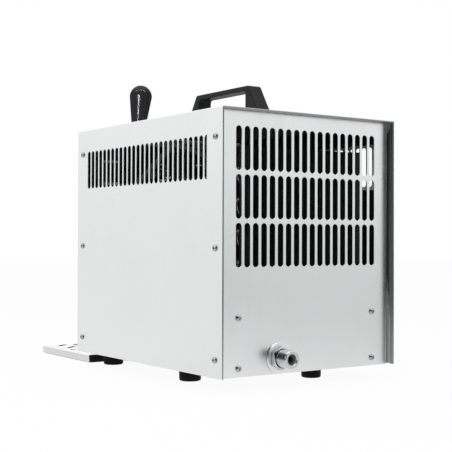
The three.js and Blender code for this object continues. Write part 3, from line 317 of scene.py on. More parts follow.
def chrome(name, colour, dusty, clean, touched):
    g = new_material(name, metallic=1.0)
    rough = g.group("smudges", clean=clean, touched=touched, scale=55.0)["Roughness"]
    dust = g.group("settled_dust", amount=0.25, scale=220.0)["Mask"]
    waviness = g.noise(g.place(), 70.0, 1.0, 0.4)
    g.shade(g.mix(dust, colour, dusty), g.plus(rough, g.times(dust, 0.3)), waviness, 0.00004)


def plastic(name, colour, worn_and_highlit_colour, clean, touched, fineness=1800.0, depth=0.00004, dust_amount=0.3, **shader):
    g = new_material(name, **shader)
    skin = g.group("moulding", fineness=fineness)
    wear_and_highlight = g.group("edge_wear_and_highlight", width=0.0007, amount=0.7)["Mask"]
    dust = g.group("settled_dust", amount=dust_amount, scale=130.0)["Mask"]
    darker = tuple(0.7 * c for c in colour)
    # The edge mask paints the edges lighter: partly wear, and partly a painted highlight along rounded edges.
    base = g.mix(wear_and_highlight, g.mix(g.ramp(skin["Mottle"], 0.35, 0.65), darker, colour), worn_and_highlit_colour)
    rough = g.group("smudges", clean=clean, touched=touched, scale=24.0)["Roughness"]
    g.shade(g.mix(g.times(dust, 0.4), base, (0.34, 0.33, 0.31)),
            g.plus(rough, g.times(dust, 0.35), clamp=True), skin["Height"], depth)


def galvanised(name):
    g = new_material(name, metallic=0.9)
    place = g.place()
    tint = g.add("ShaderNodeSeparateColor", {"Color": g.cells(place, 110.0)["Color"]}).outputs[0]
    shade = g.shares(tint, 0.6, g.noise(place, 20.0, 5.0, 0.6), 0.4)
    g.shade(g.mix(g.ramp(shade, 0.2, 0.8), (0.16, 0.17, 0.175), (0.27, 0.28, 0.285)),
            g.ramp(tint, 0.0, 1.0, 0.34, 0.55), g.noise(place, 900.0, 3.0, 0.6), 0.00003)


def cast_metal(name):
    g = new_material(name, metallic=1.0)
    place = g.place()
    sand = g.noise(place, 700.0, 6.0, 0.65)
    pits = g.cells(place, 420.0)["Distance"]
    g.shade(g.mix(g.ramp(sand, 0.3, 0.7), (0.42, 0.43, 0.44), (0.66, 0.67, 0.68)),
            g.ramp(sand, 0.3, 0.7, 0.42, 0.66), g.plus(sand, g.times(pits, 0.5)), 0.00025)


def copper(name):
    g = new_material(name, metallic=1.0)
    cloud = g.ramp(g.noise(g.place(), 38.0, 6.0, 0.62), 0.42, 0.68)
    drawn = g.group("sheet_grain", stretch=(1.0, 0.1, 1.0), fineness=1500.0)["Lines"]
    fresh = g.mix(g.ramp(drawn, 0.35, 0.65), (0.78, 0.40, 0.24), (0.90, 0.50, 0.33))
    g.shade(g.mix(cloud, fresh, (0.30, 0.16, 0.10)), g.ramp(cloud, 0.0, 1.0, 0.22, 0.5), drawn, 0.00002)


def paint(name):
    g = new_material(name, specular_ior_level=0.14)
    place = g.place()
    wear_and_highlight = g.group("edge_wear_and_highlight", width=0.0006, amount=0.5)["Mask"]
    dust = g.group("settled_dust", amount=0.1, scale=90.0)["Mask"]
    mottle = g.ramp(g.noise(place, 30.0, 4.0, 0.6), 0.3, 0.7)
    base = g.mix(wear_and_highlight, g.mix(mottle, (0.005, 0.005, 0.006), (0.010, 0.010, 0.011)), (0.09, 0.09, 0.09))
    g.shade(g.mix(g.times(dust, 0.3), base, (0.2, 0.19, 0.17)), g.plus(0.34, g.times(dust, 0.4)),
            g.noise(place, 420.0, 2.0, 0.4), 0.0001)


def foam(name, dark, light):
    g = new_material(name, specular_ior_level=0.2)
    place = g.place()
    cells = g.cells(place, 520.0)["Distance"]
    mottle = g.noise(place, 60.0, 5.0, 0.6)
    g.shade(g.mix(g.ramp(g.shares(cells, 0.7, mottle, 0.5), 0.3, 0.9), dark, light),
            g.ramp(mottle, 0.3, 0.7, 0.85, 0.98), cells, 0.0006)


def make_materials():
    for make in (make_sheet_grain, make_edge_wear_and_highlight, make_settled_dust, make_smudges, make_moulding):
        make()
    steel("satin_stainless", (1.0, 1.0, 0.05), (0.76, 0.785, 0.78), (0.79, 0.815, 0.81), 0.27, 0.32)
    # A darker copy of the satin steel with its grain along the fold: painted shade for the hem and the recess
    # behind the cover's rear edge.
    steel("hem_shade_stainless", (1.0, 0.05, 1.0), (0.30, 0.31, 0.305), (0.36, 0.37, 0.365), 0.16, 0.22)
    # A darker copy of the satin steel with upright grain: painted shade on the drip grid's sides.
    steel("skirt_shade_stainless", (0.05, 0.05, 1.0), (0.64, 0.66, 0.655), (0.69, 0.71, 0.705), 0.27, 0.34)
    steel("stainless_tube", (0.3, 0.05, 1.0), (0.34, 0.345, 0.345), (0.44, 0.445, 0.445), 0.22, 0.34)
    chrome("plated_screw", (0.40, 0.41, 0.42), (0.2, 0.2, 0.2), 0.03, 0.07)
    chrome("chrome_plate", (0.56, 0.565, 0.57), (0.36, 0.36, 0.36), 0.03, 0.09)
    galvanised("galvanised_sheet")
    cast_metal("cast_aluminium")
    copper("copper_tube")
    paint("black_paint")
    # Its edges are painted much lighter: partly wear, and mostly a painted highlight on the rounded edges.
    plastic("black_plastic", (0.010, 0.0105, 0.011), (0.14, 0.14, 0.14), 0.38, 0.52, dust_amount=0.1,
            specular_ior_level=0.14)
    plastic("gloss_black", (0.003, 0.003, 0.0035), (0.02, 0.02, 0.02), 0.03, 0.06, 600.0, 0.0000006, 0.004,
            ior=1.1)
    plastic("foot_rubber", (0.009, 0.009, 0.010), (0.03, 0.03, 0.03), 0.62, 0.8, 900.0, 0.00012, 0.2,
            specular_ior_level=0.15)
    foam("dark_foam", (0.012, 0.012, 0.013), (0.035, 0.035, 0.037))
    foam("sleeve_foam", (0.04, 0.04, 0.041), (0.075, 0.075, 0.077))


# ---------------------------------------------------------------- loops and profiles

def quarter(steps, first=0, last=None):
    """Angles of a quarter turn in equal steps, from the first to the last."""
    return [pi / 2 * k / steps for k in range(first, (steps if last is None else last) + 1)]


def from_flat(angle):
    """An angle measured from the middle of the nearest of six flats."""
    return (angle + pi / 6) % (pi / 3) - pi / 6


def slot_loop(u, v, width, length, steps=8):
    """A slot with round ends, its long way along v."""
    r = width / 2
    half = length / 2 - r
    return [(u + side * r * cos(pi * i / steps), v + side * (half + r * sin(pi * i / steps)))
            for side in (1, -1) for i in range(steps + 1)]


def round_loop(u, v, radius, steps):
    return [(u + radius * cos(TURN * i / steps), v + radius * sin(TURN * i / steps)) for i in range(steps)]


def box_loop(u, v, width, height):
    return [(u + a * width / 2, v + b * height / 2) for a, b in ((1, 1), (-1, 1), (-1, -1), (1, -1))]


def rounded_loop(u, v, width, height, corner, steps=5):
    loop = []
    for number, (a, b) in enumerate(((1, 1), (-1, 1), (-1, -1), (1, -1))):
        for k in range(steps + 1):
            angle = (number + k / steps) * pi / 2
            loop.append((u + a * (width / 2 - corner) + corner * cos(angle),
                         v + b * (height / 2 - corner) + corner * sin(angle)))
    return loop


def grown(loop, amount):
    """The loop moved outward by an amount, for the chamfer of a punched edge."""
    around = list(zip(loop, loop[1:] + loop[:1]))
    side = 1 if sum(a[0] * b[1] - b[0] * a[1] for a, b in around) > 0 else -1
    moved = []
    for i, (u, v) in enumerate(loop):
        (u0, v0), (u1, v1) = loop[i - 1], around[i][1]
        du, dv = u1 - u0, v1 - v0
        size = hypot(du, dv)
        moved.append((u + side * amount * dv / size, v - side * amount * du / size))
    return moved


def chamfered(loop, near, far, ease):
    """Shapes and depths of a punched edge from the near face of a sheet to the far one."""
    step = ease if far > near else -ease
    wide = grown(loop, ease)
    return [(wide, near), (loop, near + step), (loop, far - step), (wide, far)]


def eased(profile, radius, steps, closed=False):
    """The profile with its corners rounded."""
    count = len(profile)
    made = []
    for i, (x, y) in enumerate(profile):
        here = Vector((x, y))
        one, two = Vector(profile[i - 1]) - here, Vector(profile[(i + 1) % count]) - here
        reach = min(radius, one.length * 0.45, two.length * 0.45)
        straight = reach < 1e-4 or abs(one.angle(two, pi) - pi) < 0.12
        if straight or (not closed and i in (0, count - 1)):
            made.append((x, y))
            continue
        start, end = here + one.normalized() * reach, here + two.normalized() * reach
        for k in range(steps + 1):
            t = k / steps
            point = start * (1 - t) ** 2 + here * 2 * t * (1 - t) + end * t ** 2
            made.append((max(point.x, 0.0), point.y))
    return made


def standing(a, b, v):
    return (a, b, v)


def lying(a, b, v):
    return (a, v, b)


AXES = {
    "up": Matrix.Identity(3),
    "front": Matrix.Rotation(pi / 2, 3, "X"),
    "rear": Matrix.Rotation(-pi / 2, 3, "X"),
    "right": Matrix.Rotation(pi / 2, 3, "Y"),
    "left": Matrix.Rotation(-pi / 2, 3, "Y"),
}


def rings(levels, place, towards, sides, shape):
    """Loops of points round an axis, one for each level. shape gives a point's radius and distance along the
    axis, from its number, its angle and the level's values."""
    loops = []
    for level in levels:
        loop = []
        for i in range(sides):
            angle = TURN * i / sides
            r, along = shape(i, angle, *level)
            loop.append(Vector(place) + AXES[towards] @ Vector((r * cos(angle), r * sin(angle), along)))
        loops.append(loop)
    return loops


def ribbed(count, depth):
    """A shape for rings: half of every few points stand out by a depth where the level has ribs."""
    return lambda i, angle, radius, along, ribs=0: (
        radius + (depth if ribs and i % count < count / 2 else 0), along)


# ---------------------------------------------------------------- solids

class Solid:
    """Points and faces of one closed surface, in millimetres."""

    def __init__(self):
        self.points = []
        self.faces = []

    def loop(self, points):
        start = len(self.points)
        self.points.extend(points)
        return list(range(start, len(self.points)))

    def strip(self, first, second, closed=True):
        count = len(first)
        for i in range(count if closed else count - 1):
            j = (i + 1) % count
            self.faces.append((first[i], first[j], second[j], second[i]))

    def stack(self, loops, ring=False):
        """Joins loops of equal length, one on the next, and closes the ends or joins them to each other."""
        rows = [self.loop(loop) for loop in loops]
        for one, two in zip(rows, rows[1:] + rows[:1] if ring else rows[1:]):
            self.strip(one, two)
        if not ring:
            self.faces += [tuple(rows[0]), tuple(rows[-1])]
        return self

    def flat(self, outer, holes):
        """A flat face with holes. outer and each hole are lists of (index, (u, v))."""
        loops = [[Vector((u, v, 0)) for _, (u, v) in loop] for loop in [outer] + holes]
        ids = [index for loop in [outer] + holes for index, _ in loop]
        self.faces += [tuple(ids[i] for i in triangle) for triangle in tessellate_polygon(loops)]

    def punched(self, loops, near, far, ease, place):
        """Chamfered holes from the near face of a sheet to the far one: their edges, for each flat face."""
        edges = [], []
        for loop in loops:
            levels = chamfered(loop, near, far, ease)
            made = [self.loop([place(u, v, depth) for u, v in shape]) for shape, depth in levels]
            for one, two in zip(made, made[1:]):
                self.strip(one, two)
            for side, level in zip(edges, (0, 3)):
                side.append(list(zip(made[level], levels[level][0])))
        return edges

    def lathe(self, profile, place, towards="up", sides=64, closed=False):
        """A turned surface. The profile lists radius and distance along the axis; a radius of 0 closes it."""
        rows = []
        for radius, along in profile:
            level = rings([(radius, along)], place, towards, sides if radius else 1, ribbed(1, 0))[0]
            rows.append(self.loop(level))
        for one, two in zip(rows, rows[1:] + rows[:1] if closed else rows[1:]):
            for i in range(sides if len(one) > 1 or len(two) > 1 else 0):
                j = (i + 1) % sides
                if len(one) == 1:
                    self.faces.append((one[0], two[j], two[i]))
                elif len(two) == 1:
                    self.faces.append((one[i], one[j], two[0]))
                else:
                    self.faces.append((one[i], one[j], two[j], two[i]))
        return self

    def block(self, low, high, along, corner, ease, steps=3):
        """A block with rounded corners round one axis and eased ends."""
        u, v, w = {"x": (1, 2, 0), "y": (0, 2, 1), "z": (0, 1, 2)}[along]
        bend = [(ease * (1 - sin(a)), ease * (1 - cos(a))) for a in quarter(steps)]
        levels = [(inset, low[w] + d) for inset, d in bend]
        levels += [(inset, high[w] - d) for inset, d in reversed(bend)]
        loops = []
        for inset, depth in levels:
            loop = []
            width, height = high[u] - low[u] - 2 * inset, high[v] - low[v] - 2 * inset
            for a, b in rounded_loop((low[u] + high[u]) / 2, (low[v] + high[v]) / 2, width, height,
                                     max(corner - inset, 0.05)):
                point = [0.0, 0.0, 0.0]
                point[u], point[v], point[w] = a, b, depth
                loop.append(tuple(point))
            loops.append(loop)
        return self.stack(loops)

    def bar(self, line, ends, place=lambda a, b, x: (x, a, b)):
        """A line of points drawn out between two ends."""
        return self.stack([[place(a, b, end) for a, b in line] for end in ends])

    def tube(self, route, radius, sides, tip=None):
        """A round tube along a route, closed at both ends. tip is the radius at its far end."""
        last = len(route) - 1
        tangents = [(route[min(i + 1, last)] - route[max(i - 1, 0)]).normalized() for i in range(last + 1)]
        side = tangents[0].orthogonal().normalized()
        loops = []
        for i, (point, tangent) in enumerate(zip(route, tangents)):
            side = (side - tangent * side.dot(tangent)).normalized()
            other = tangent.cross(side)
            r = tip if tip and i == last else radius
            loops.append([point + r * (cos(TURN * k / sides) * side + sin(TURN * k / sides) * other)
                          for k in range(sides)])
        return self.stack(loops)

    def mesh(self, name):
        mesh = bpy.data.meshes.new(name)
        mesh.from_pydata([tuple(c * MM for c in p) for p in self.points], [], self.faces)
        bm = bmesh.new()
        bm.from_mesh(mesh)
        bmesh.ops.remove_doubles(bm, verts=bm.verts, dist=1e-7)
        bmesh.ops.dissolve_degenerate(bm, edges=bm.edges, dist=1e-8)
        bmesh.ops.recalc_face_normals(bm, faces=bm.faces)
        bm.to_mesh(mesh)
        bm.free()
        mesh.update()
        return mesh


def folded_strip(path, bend, sheet, v0, v1, place, holes=None, hem=None, chamfer=0.15, steps=7):
    """A sheet folded along straight runs of a path, open at both ends, and as wide as v0 to v1.
    path is the outer face's line, and the sheet lies on its left. holes lists loops for each run, in
    distance along the run and v. place maps a point of the path's plane and v to space. hem is the width
    of a fold at v1."""
    solid = Solid()
    stations = []
    runs = []
    for i in range(len(path) - 1):
        a, b = Vector(path[i]), Vector(path[i + 1])
        along = (b - a).normalized()
        inward = Vector((-along.y, along.x))
        end = b - along * (bend if i < len(path) - 2 else 0)
        runs.append((len(stations), a, along))
        stations += [(a + along * (bend if i else 0), inward), (end, inward)]
        if i < len(path) - 2:
            after = (Vector(path[i + 2]) - b).normalized()
            centre = end + inward * bend
            turn = atan2(along.x * after.y - along.y * after.x, along.dot(after))
            for k in range(1, steps):
                c, s = cos(turn * k / steps), sin(turn * k / steps)
                spoke = Vector((c * -inward.x - s * -inward.y, s * -inward.x + c * -inward.y))
                stations.append((centre + spoke * bend, -spoke))
    c = chamfer
    low = [(v0 + c, sheet), (v0, sheet - c), (v0, c), (v0 + c, 0)]
    rear = [(v1 - c, 0), (v1, c), (v1, sheet - c), (v1 - c, sheet)]
    if hem:
        radius = sheet + 0.04
        rear = [(v1 - radius + radius * sin(pi * k / 8), radius - radius * cos(pi * k / 8)) for k in range(9)]
        tip, thick = v1 - hem, 2 * radius
        rear += [(tip + 0.3, thick), (tip + 0.08, thick - 0.08), (tip, thick - 0.3), (tip, sheet + 0.38),
                 (tip + 0.08, sheet + 0.16), (tip + 0.3, sheet + 0.08), (v1 - radius, sheet + 0.08),
                 (v1 - radius, sheet)]
    profile = low + rear
    rows = [solid.loop([place(*(point + inward * n), v) for v, n in profile]) for point, inward in stations]
    faces_at = (len(low) - 1, len(profile) - 1)
    flat = {start for start, _, _ in runs}
    for k in range(len(rows) - 1):
        for j in range(len(profile)):
            if k in flat and j in faces_at:
                continue
            n = (j + 1) % len(profile)
            solid.faces.append((rows[k][j], rows[k][n], rows[k + 1][n], rows[k + 1][j]))
    for index, (k, origin, along) in enumerate(runs):
        inward = Vector((-along.y, along.x))
        s0, s1 = ((stations[n][0] - origin).dot(along) for n in (k, k + 1))
        edges = solid.punched((holes or {}).get(index, []), 0, sheet, c,
                              lambda u, v, depth: place(*(origin + along * u + inward * depth), v))
        for j, inner in zip(faces_at, edges):
            n = (j + 1) % len(profile)
            va, vb = profile[j][0], profile[n][0]
            outer = [(rows[k][j], (s0, va)), (rows[k + 1][j], (s1, va)), (rows[k + 1][n], (s1, vb)),
                     (rows[k][n], (s0, vb))]
            solid.flat(outer, inner)
    solid.faces += [tuple(rows[0]), tuple(rows[-1])]
    return solid


def hex_nut(bore, radius, low, high, towards, place):
    """A hexagon nut with chamfered corners and a countersunk bore."""
    flat = radius * cos(pi / 6)
    face = flat * 0.955

    def shape(i, angle, kind, z, inward):
        if kind == "hex":
            edge = flat / cos(from_flat(angle))
            return edge, z + inward * (edge - face) * 0.55
        return {"face": face, "sink": bore + 0.5, "bore": bore}[kind], z

    levels = (("bore", low + 0.5, 0), ("sink", low, 0), ("face", low, 0), ("hex", low, 1),
              ("hex", high, -1), ("face", high, 0), ("sink", high, 0), ("bore", high - 0.5, 0))
    return Solid().stack(rings(levels, place, towards, 72, shape), ring=True)


def pipe_route(corners, bend, steps=8):
    """The points of a pipe along straight runs, with a round bend at each corner."""
    corners = [Vector(c) for c in corners]
    route = [corners[0]]
    for before, here, after in zip(corners, corners[1:], corners[2:]):
        back, ahead = (before - here).normalized(), (after - here).normalized()
        half = back.angle(ahead) / 2
        reach = bend / tan(half)
        centre = here + (back + ahead).normalized() * (bend / sin(half))
        one, two = here + back * reach - centre, here + ahead * reach - centre
        sweep = one.angle(two)
        for k in range(steps + 1):
            t = k / steps
            route.append(centre + (one * sin((1 - t) * sweep) + two * sin(t * sweep)) / sin(sweep))
    route.append(corners[-1])
    return route


def mesh_from(shape, name="working"):
    return shape.mesh(name) if isinstance(shape, Solid) else shape


def combined(first, second, operation):
    """One mesh from two by a boolean, worked out at once."""
    one, two = added("working", mesh_from(first)), added("working", mesh_from(second))
    change = one.modifiers.new("combine", "BOOLEAN")
    change.object, change.operation, change.solver = two, operation, "EXACT"
    bpy.context.view_layer.update()
    made = bpy.data.meshes.new_from_object(one.evaluated_get(bpy.context.evaluated_depsgraph_get()))
    for obj in (one, two):
        bpy.data.objects.remove(obj)
    return made


def piece(name, shape, slot, nodes=(), body="case", smooth=38.0, weighted=False, finish=None):
    """Makes a solid or a mesh a piece of the dispenser, with its finish, its body and the CAD nodes that it
    stands for."""
    mesh = mesh_from(shape, name)
    mesh.name = name
    mesh.materials.clear()
    mesh.materials.append(FINISH[finish or slot])
    obj = added(name, mesh)
    if smooth:
        mesh.shade_smooth()
        mesh.set_sharp_from_angle(angle=radians(smooth))
    if weighted:
        change = obj.modifiers.new("flat_normals", "WEIGHTED_NORMAL")
        change.keep_sharp = True
        change.weight = 60
    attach(obj, body)
    if nodes:
        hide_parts(*nodes)
    return obj


def turned_piece(name, profile, place, towards, slot, nodes=(), sides=64, closed=True, **more):
    return piece(name, Solid().lathe(profile, place, towards, sides, closed), slot, nodes, **more)


def refinished(obj, finish, chosen):
    """Gives the chosen faces of a piece a second finish. chosen tells by a face's middle and normal."""
    obj.data.materials.append(FINISH[finish])
    for face in obj.data.polygons:
        if chosen(*(face.center / MM), face.normal):
            face.material_index = 1


def bevelled(obj, width, segments=3, angle=40.0):
    change = obj.modifiers.new("eased_edges", "BEVEL")
    change.width, change.segments = width * MM, segments
    change.limit_method, change.angle_limit = "ANGLE", radians(angle)
    change.harden_normals = False
    obj.modifiers.new("flat_normals", "WEIGHTED_NORMAL").keep_sharp = True


# ---------------------------------------------------------------- sheet metal case

def make_cover():
    middle = (CASE_REAR + CASE_FRONT) / 2
    right, left = [], []
    for i in range(SIDE_VENTS):
        y = middle + (i - (SIDE_VENTS - 1) / 2) * SIDE_VENT_PITCH
        for side, along in ((right, SIDE_VENT_Z - CASE_LOW), (left, CASE_TOP - SIDE_VENT_Z)):
            side.append([(b, a) for a, b in slot_loop(y, along, VENT_WIDTH, VENT_LENGTH)])
    path = [(CASE_SIDE, CASE_LOW), (CASE_SIDE, CASE_TOP), (-CASE_SIDE, CASE_TOP), (-CASE_SIDE, CASE_LOW)]
    cover = folded_strip(path, COVER_BEND, COVER_SHEET, CASE_FRONT, CASE_REAR, lying, {0: right, 2: left},
                         HEM_WIDTH)

    # Picks the hem and the cover's inner faces near the rear edge, which get the darker steel as painted
    # shade.
    def in_hem_shade(x, y, z, normal):
        deep = min(CASE_SIDE - abs(x), CASE_TOP - z)
        return y > CASE_REAR - 2 * HEM_WIDTH and (deep > 0.05 or y > CASE_REAR - 1.0)

    refinished(piece("wrap_cover_sheet", cover, "satin_stainless", ("wrap_cover",), weighted=True),
               "hem_shade_stainless", in_hem_shade)


def make_panels():
    x, y = PANEL_SIDE, FRONT_FACE
    path = [(-x, y + PANEL_FLANGE), (-x, y), (x, y), (x, y + PANEL_FLANGE)]
    panel = folded_strip(path, FRONT_BEND, PANEL_SHEET, PANEL_LOW, PANEL_TOP, standing)
    piece("front_panel_sheet", panel, "satin_stainless", ("front_panel",), weighted=True)
    y = REAR_FACE
    vents = [slot_loop(x + (column - (REAR_VENTS - 1) / 2) * REAR_VENT_PITCH, z, VENT_WIDTH, VENT_LENGTH)
             for column in range(REAR_VENTS) for z in REAR_VENT_ROWS]
    path = [(x, y - PANEL_FLANGE), (x, y), (-x, y), (-x, y - PANEL_FLANGE)]
    panel = folded_strip(path, REAR_BEND, PANEL_SHEET, PANEL_LOW, PANEL_TOP, standing, {1: vents})
    piece("rear_panel_sheet", panel, "satin_stainless", ("rear_panel",), weighted=True)


def screw_mesh():
    """A pan head with a cross recess, and its shank."""
    dome = [(0, -7), (1.4, -7), (2, -6.2), (2, -0.1), (3.6, -0.1), (4, 0.15), (4, 0.9)]
    dome += [(4 * cos(a), 0.9 + 1.7 * sin(a)) for a in quarter(10, 1, 9)] + [(0, 2.6)]
    half, long = 0.5, 2.1
    outline = []
    for k in range(4):
        turn = Matrix.Rotation(-k * pi / 2, 2)
        outline += [turn @ Vector(p) for p in ((half, half), (long, half), (long, -half))]
    cross = Solid().stack([[(p.x * grow, p.y * grow, z) for p in outline]
                           for grow, z in ((0.72, 1.0), (1.0, 2.8))])
    return combined(Solid().lathe(dome, (0, 0, 0), "up", 48), cross, "DIFFERENCE")


def make_screws():
    mesh = screw_mesh()
    sides = (("left", -1), ("right", 1))
    spots = []
    for end, y in zip(("front", "rear"), SCREW_Y):
        for level, z in zip(("low", "middle", "high"), SCREW_Z):
            spots += [(f"cover_screw_{side}_{end}_{level}", side, (sign * (CASE_SIDE + 0.3), y, z))
                      for side, sign in sides]
    for level, z in zip(("low", "high"), REAR_SCREW_Z):
        spots += [(f"rear_screw_{side}_{level}", "rear", (sign * REAR_SCREW_X, REAR_FACE + 0.3, z))
                  for side, sign in sides]
    lift = Matrix.Translation(Vector((0, 0, -0.2)) * MM)
    for number, (node, towards, place) in enumerate(spots):
        turned = mesh.copy()
        spin = Matrix.Rotation(number * SCREW_TURN, 4, "Z")
        turned.transform(Matrix.Translation(Vector(place) * MM) @ AXES[towards].to_4x4() @ lift @ spin)
        piece(node + "_head", turned, "plated_screw", (node,), smooth=32.0)


def make_feet():
    body = [(0, 5.5), (5.2, 5.5), (5.2, 0.9), (6.0, 0.0), (12.0, 0.0)]
    body += [(12.0 + 2.6 * sin(a), 2.8 - 2.8 * cos(a)) for a in quarter(6, 1)]
    body += [(14.98, 17.9), (14.7, 18.7), (13.9, 19.0), (2.5, 19.0), (2.5, 24.5), (0, 24.5)]
    head = [(0, 5.4), (4.4, 5.4), (4.6, 5.0), (4.4, 3.4), (3.2, 2.6), (1.4, 2.4), (1.2, 3.6), (0, 3.6)]
    for node, (x, y) in FEET.items():
        slim = 0.92 if node == "foot_rear_middle" else 1.0
        turned_piece(node + "_moulding", [(r * slim if r > 6 else r, h) for r, h in body], (x, y, 0), "up",
                     "foot_rubber", (node,), 72, False)
        turned_piece(node + "_screw", head, (x, y, 0), "up", "plated_screw", (), 32, False)


def make_handle():
    y, z = HANDLE_Y, HANDLE_Z
    inner, foot, shoulder, grip, top, r = 58.0, 96.0, 65.0, z + 44.0, z + 51.0, 5
    line = [(y - foot, z), (y - inner, z)]
    line += [(y - inner + r - r * cos(a), grip - r + r * sin(a)) for a in quarter(8)]
    line += [(y + inner - r + r * sin(a), grip - r + r * cos(a)) for a in quarter(8)] + [(y + inner, z)]
    line += eased([(y + foot, z), (y + shoulder, top), (y - shoulder, top), (y - foot, z)], 3.0, 4)[:-1]
    handle = piece("carry_handle_moulding", Solid().bar(line, (-11.0, 11.0)), "black_plastic",
                   ("carry_handle",), smooth=30.0)
    bevelled(handle, 1.3, 3, 50.0)


# ---------------------------------------------------------------- tap

def tilted(solid):
    """The mesh of a solid that leans with the lever, from the pivot up."""
    mesh = solid.mesh("tilted")
    pivot = Vector((0, TAP_Y, PIVOT_Z)) * MM
    mesh.transform(Matrix.Translation(pivot) @ Matrix.Rotation(radians(-LEVER_TILT), 4, "X"))
    return mesh


def make_tap_fixing():
    """Shank, lock nut, wall flange and notched coupling nut."""
    shank = eased([(4, -26), (8, -26), (8, 18), (4, 18)], 0.6, 3, True)
    turned_piece("tap_shank_tube", shank, TAP_SEAT, "front", "chrome_plate", ("tap_shank",), 48)
    piece("tap_shank_lock_nut", hex_nut(8.4, 15.6, -9.5, -1.5, "front", TAP_SEAT), "chrome_plate",
          ("tap_shank_nut",))
    flange = [(8.4, 0.3), (26, 0.3), (26, 1.2), (25.4, 2.1), (23.5, 2.7), (20.5, 3.4), (18, 4.7), (16.6, 6.1),
              (15.9, 6.3), (8.4, 6.3)]
    turned_piece("tap_wall_flange_cup", flange, TAP_SEAT, "front", "chrome_plate", ("tap_wall_flange",), 96,
                 smooth=42)

    def notched(i, angle, radius, along, cut):
        off = abs(from_flat(angle)) * 16
        return radius - (2.0 * max(0.0, min(1.0, (2.7 - off) / 0.4)) if cut else 0.0), along

    levels = [(8.4, 6.9, 0), (15.3, 6.9, 1), (16.0, 7.6, 1), (16.0, 23.9, 1), (15.3, 24.6, 1),
              (11.4, 24.6, 0), (11.4, 18.0, 0), (8.4, 18.0, 0)]
    collar = Solid().stack(rings(levels, TAP_SEAT, "front", 144, notched), ring=True)
    piece("tap_coupling_collar", collar, "chrome_plate", ("tap_coupling_nut",), smooth=30)


def make_tap_body():
    outside = [(0, 22), (14.2, 22), (15, 21.2), (15, -19)]
    outside += [(15 - 7 * t, -22 - 15 * (3 * t * t - 2 * t ** 3) + 3 * (1 - t))
                for t in [k / 10 for k in range(1, 11)]]
    outside += [(8, -38), (6.9, -39), (6.5, -41), (6.5, -82.5), (6.1, -84), (4.7, -84), (4.5, -83.6),
                (4.5, -6), (0, -4)]
    bar = [(0, 18.3), (4, 18.3), (4, 18.4), (10.6, 18.4), (11, 18.8), (11, 24.2), (13.3, 25.0), (14, 25.7),
           (14, 62), (0, 62)]
    column, barrel = Solid().lathe(outside, TAP_MIDDLE, "up", 72), Solid().lathe(bar, TAP_SEAT, "front", 72)
    piece("tap_body_casting", combined(column, barrel, "UNION"), "chrome_plate", ("tap_body",), smooth=32)
    levels = [(0.01, 22.3), (14.3, 22.3), (15, 22.9), (15, 24.2), (14.7, 24.6, 1), (14.7, 31.4, 1),
              (15, 31.8), (15, 33.4), (14.2, 35.4), (12.3, 37.0), (9.9, 37.3), (9.4, 36.8), (9.3, 34.5),
              (8.2, 31.4), (6.2, 29.0), (3.5, 27.2), (0.01, 26.5)]
    bonnet = Solid().stack(rings(levels, TAP_MIDDLE, "up", 180, ribbed(4, 0.28)))
    piece("tap_bonnet_cap", bonnet, "chrome_plate", ("tap_bonnet",), smooth=36)


def make_levers():
    ball, neck = 9, acos(4 / 9)
    sweep = [-pi / 2 + (neck + pi / 2) * k / 22 for k in range(1, 23)]
    profile = [(0, -ball)] + [(ball * cos(a), ball * sin(a)) for a in sweep]
    profile += [(4, 13.2), (4.6, 14.0), (6.2, 14.0), (6.5, 14.4), (6.5, 17.6), (6.2, 18.0), (4.6, 18.0),
                (4, 18.6), (4, 29.6), (3.6, 30), (0, 30)]
    stem = tilted(Solid().lathe(profile, (0, 0, 0), "up", 48))
    piece("tap_lever_stem", stem, "chrome_plate", ("tap_lever",), "tap_handle")
    y = FRONT_FACE - 42.0
    hub = [(0, 6.4), (3, 6.4), (3, 14.3), (6.4, 14.3), (7, 14.8), (7, 20.4), (6.2, 21.3), (2.6, 21.3),
           (2.2, 20.9), (0, 20.9)]
    loops = []
    for x, shrink in ((18.3, 0.5), (18.7, 0.0), (20.9, 0.0), (21.3, 0.5)):
        line = slot_loop(y, TAP_Z - 13.0, 8 - 2 * shrink, 34 - 2 * shrink, 12)
        loops.append([(x, a, b) for a, b in line])
    mesh = combined(Solid().lathe(hub, (0, y, TAP_Z), "right", 40), Solid().stack(loops), "UNION")
    piece("flow_lever_arm", mesh, "chrome_plate", ("flow_lever",), "flow_control", 34)


def make_knob():
    """A tapered gloss knob with six flat flutes that end in arches under its domed top."""
    radius, dome, step = 18.2, 18.5, 1.6
    outline = eased([(0, 0), (8.5, 0), (9.3, 2.5), (10, 6), (11.0, 18), (13, 34.5), (15.6, 55),
                     (radius, KNOB_SHOULDER)], 0.9, 4)
    outline += [(radius * cos(a), KNOB_SHOULDER + dome * sin(a)) for a in quarter(24, 1, 23)]
    samples = []
    for (r0, z0), (r1, z1) in zip(outline, outline[1:]):
        count = max(1, int(hypot(r1 - r0, z1 - z0) / step))
        samples += [(r0 + (r1 - r0) * k / count, z0 + (z1 - z0) * k / count) for k in range(count)]
    samples = [(0.02, 0.0)] + samples[1:] + [outline[-1]]

    def fluted(angle, r, z):
        """The surface of revolution, blended into the flat of a flute where that lies deeper."""
        flat = 16.3 - 0.127 * (KNOB_SHOULDER - z)
        plane = max(flat, 1.0) * (1 + 0.82 * (1 / cos(from_flat(angle)) - 1))
        if r > 9.4 and z > 5:
            soft = 0.35
            h = max(0.0, min(1.0, 0.5 + (plane - r) / (2 * soft)))
            r = plane * (1 - h) + r * h - soft * h * (1 - h)
        return r * cos(angle), r * sin(angle), KNOB_SEAT + z

    turn = [TURN * i / 144 for i in range(144)]
    solid = Solid().stack([[fluted(angle, r, z) for angle in turn] for r, z in samples])
    return piece("tap_knob_moulding", tilted(solid), "gloss_black", ("tap_knob",), "tap_handle", 28)


# ---------------------------------------------------------------- beer inlet

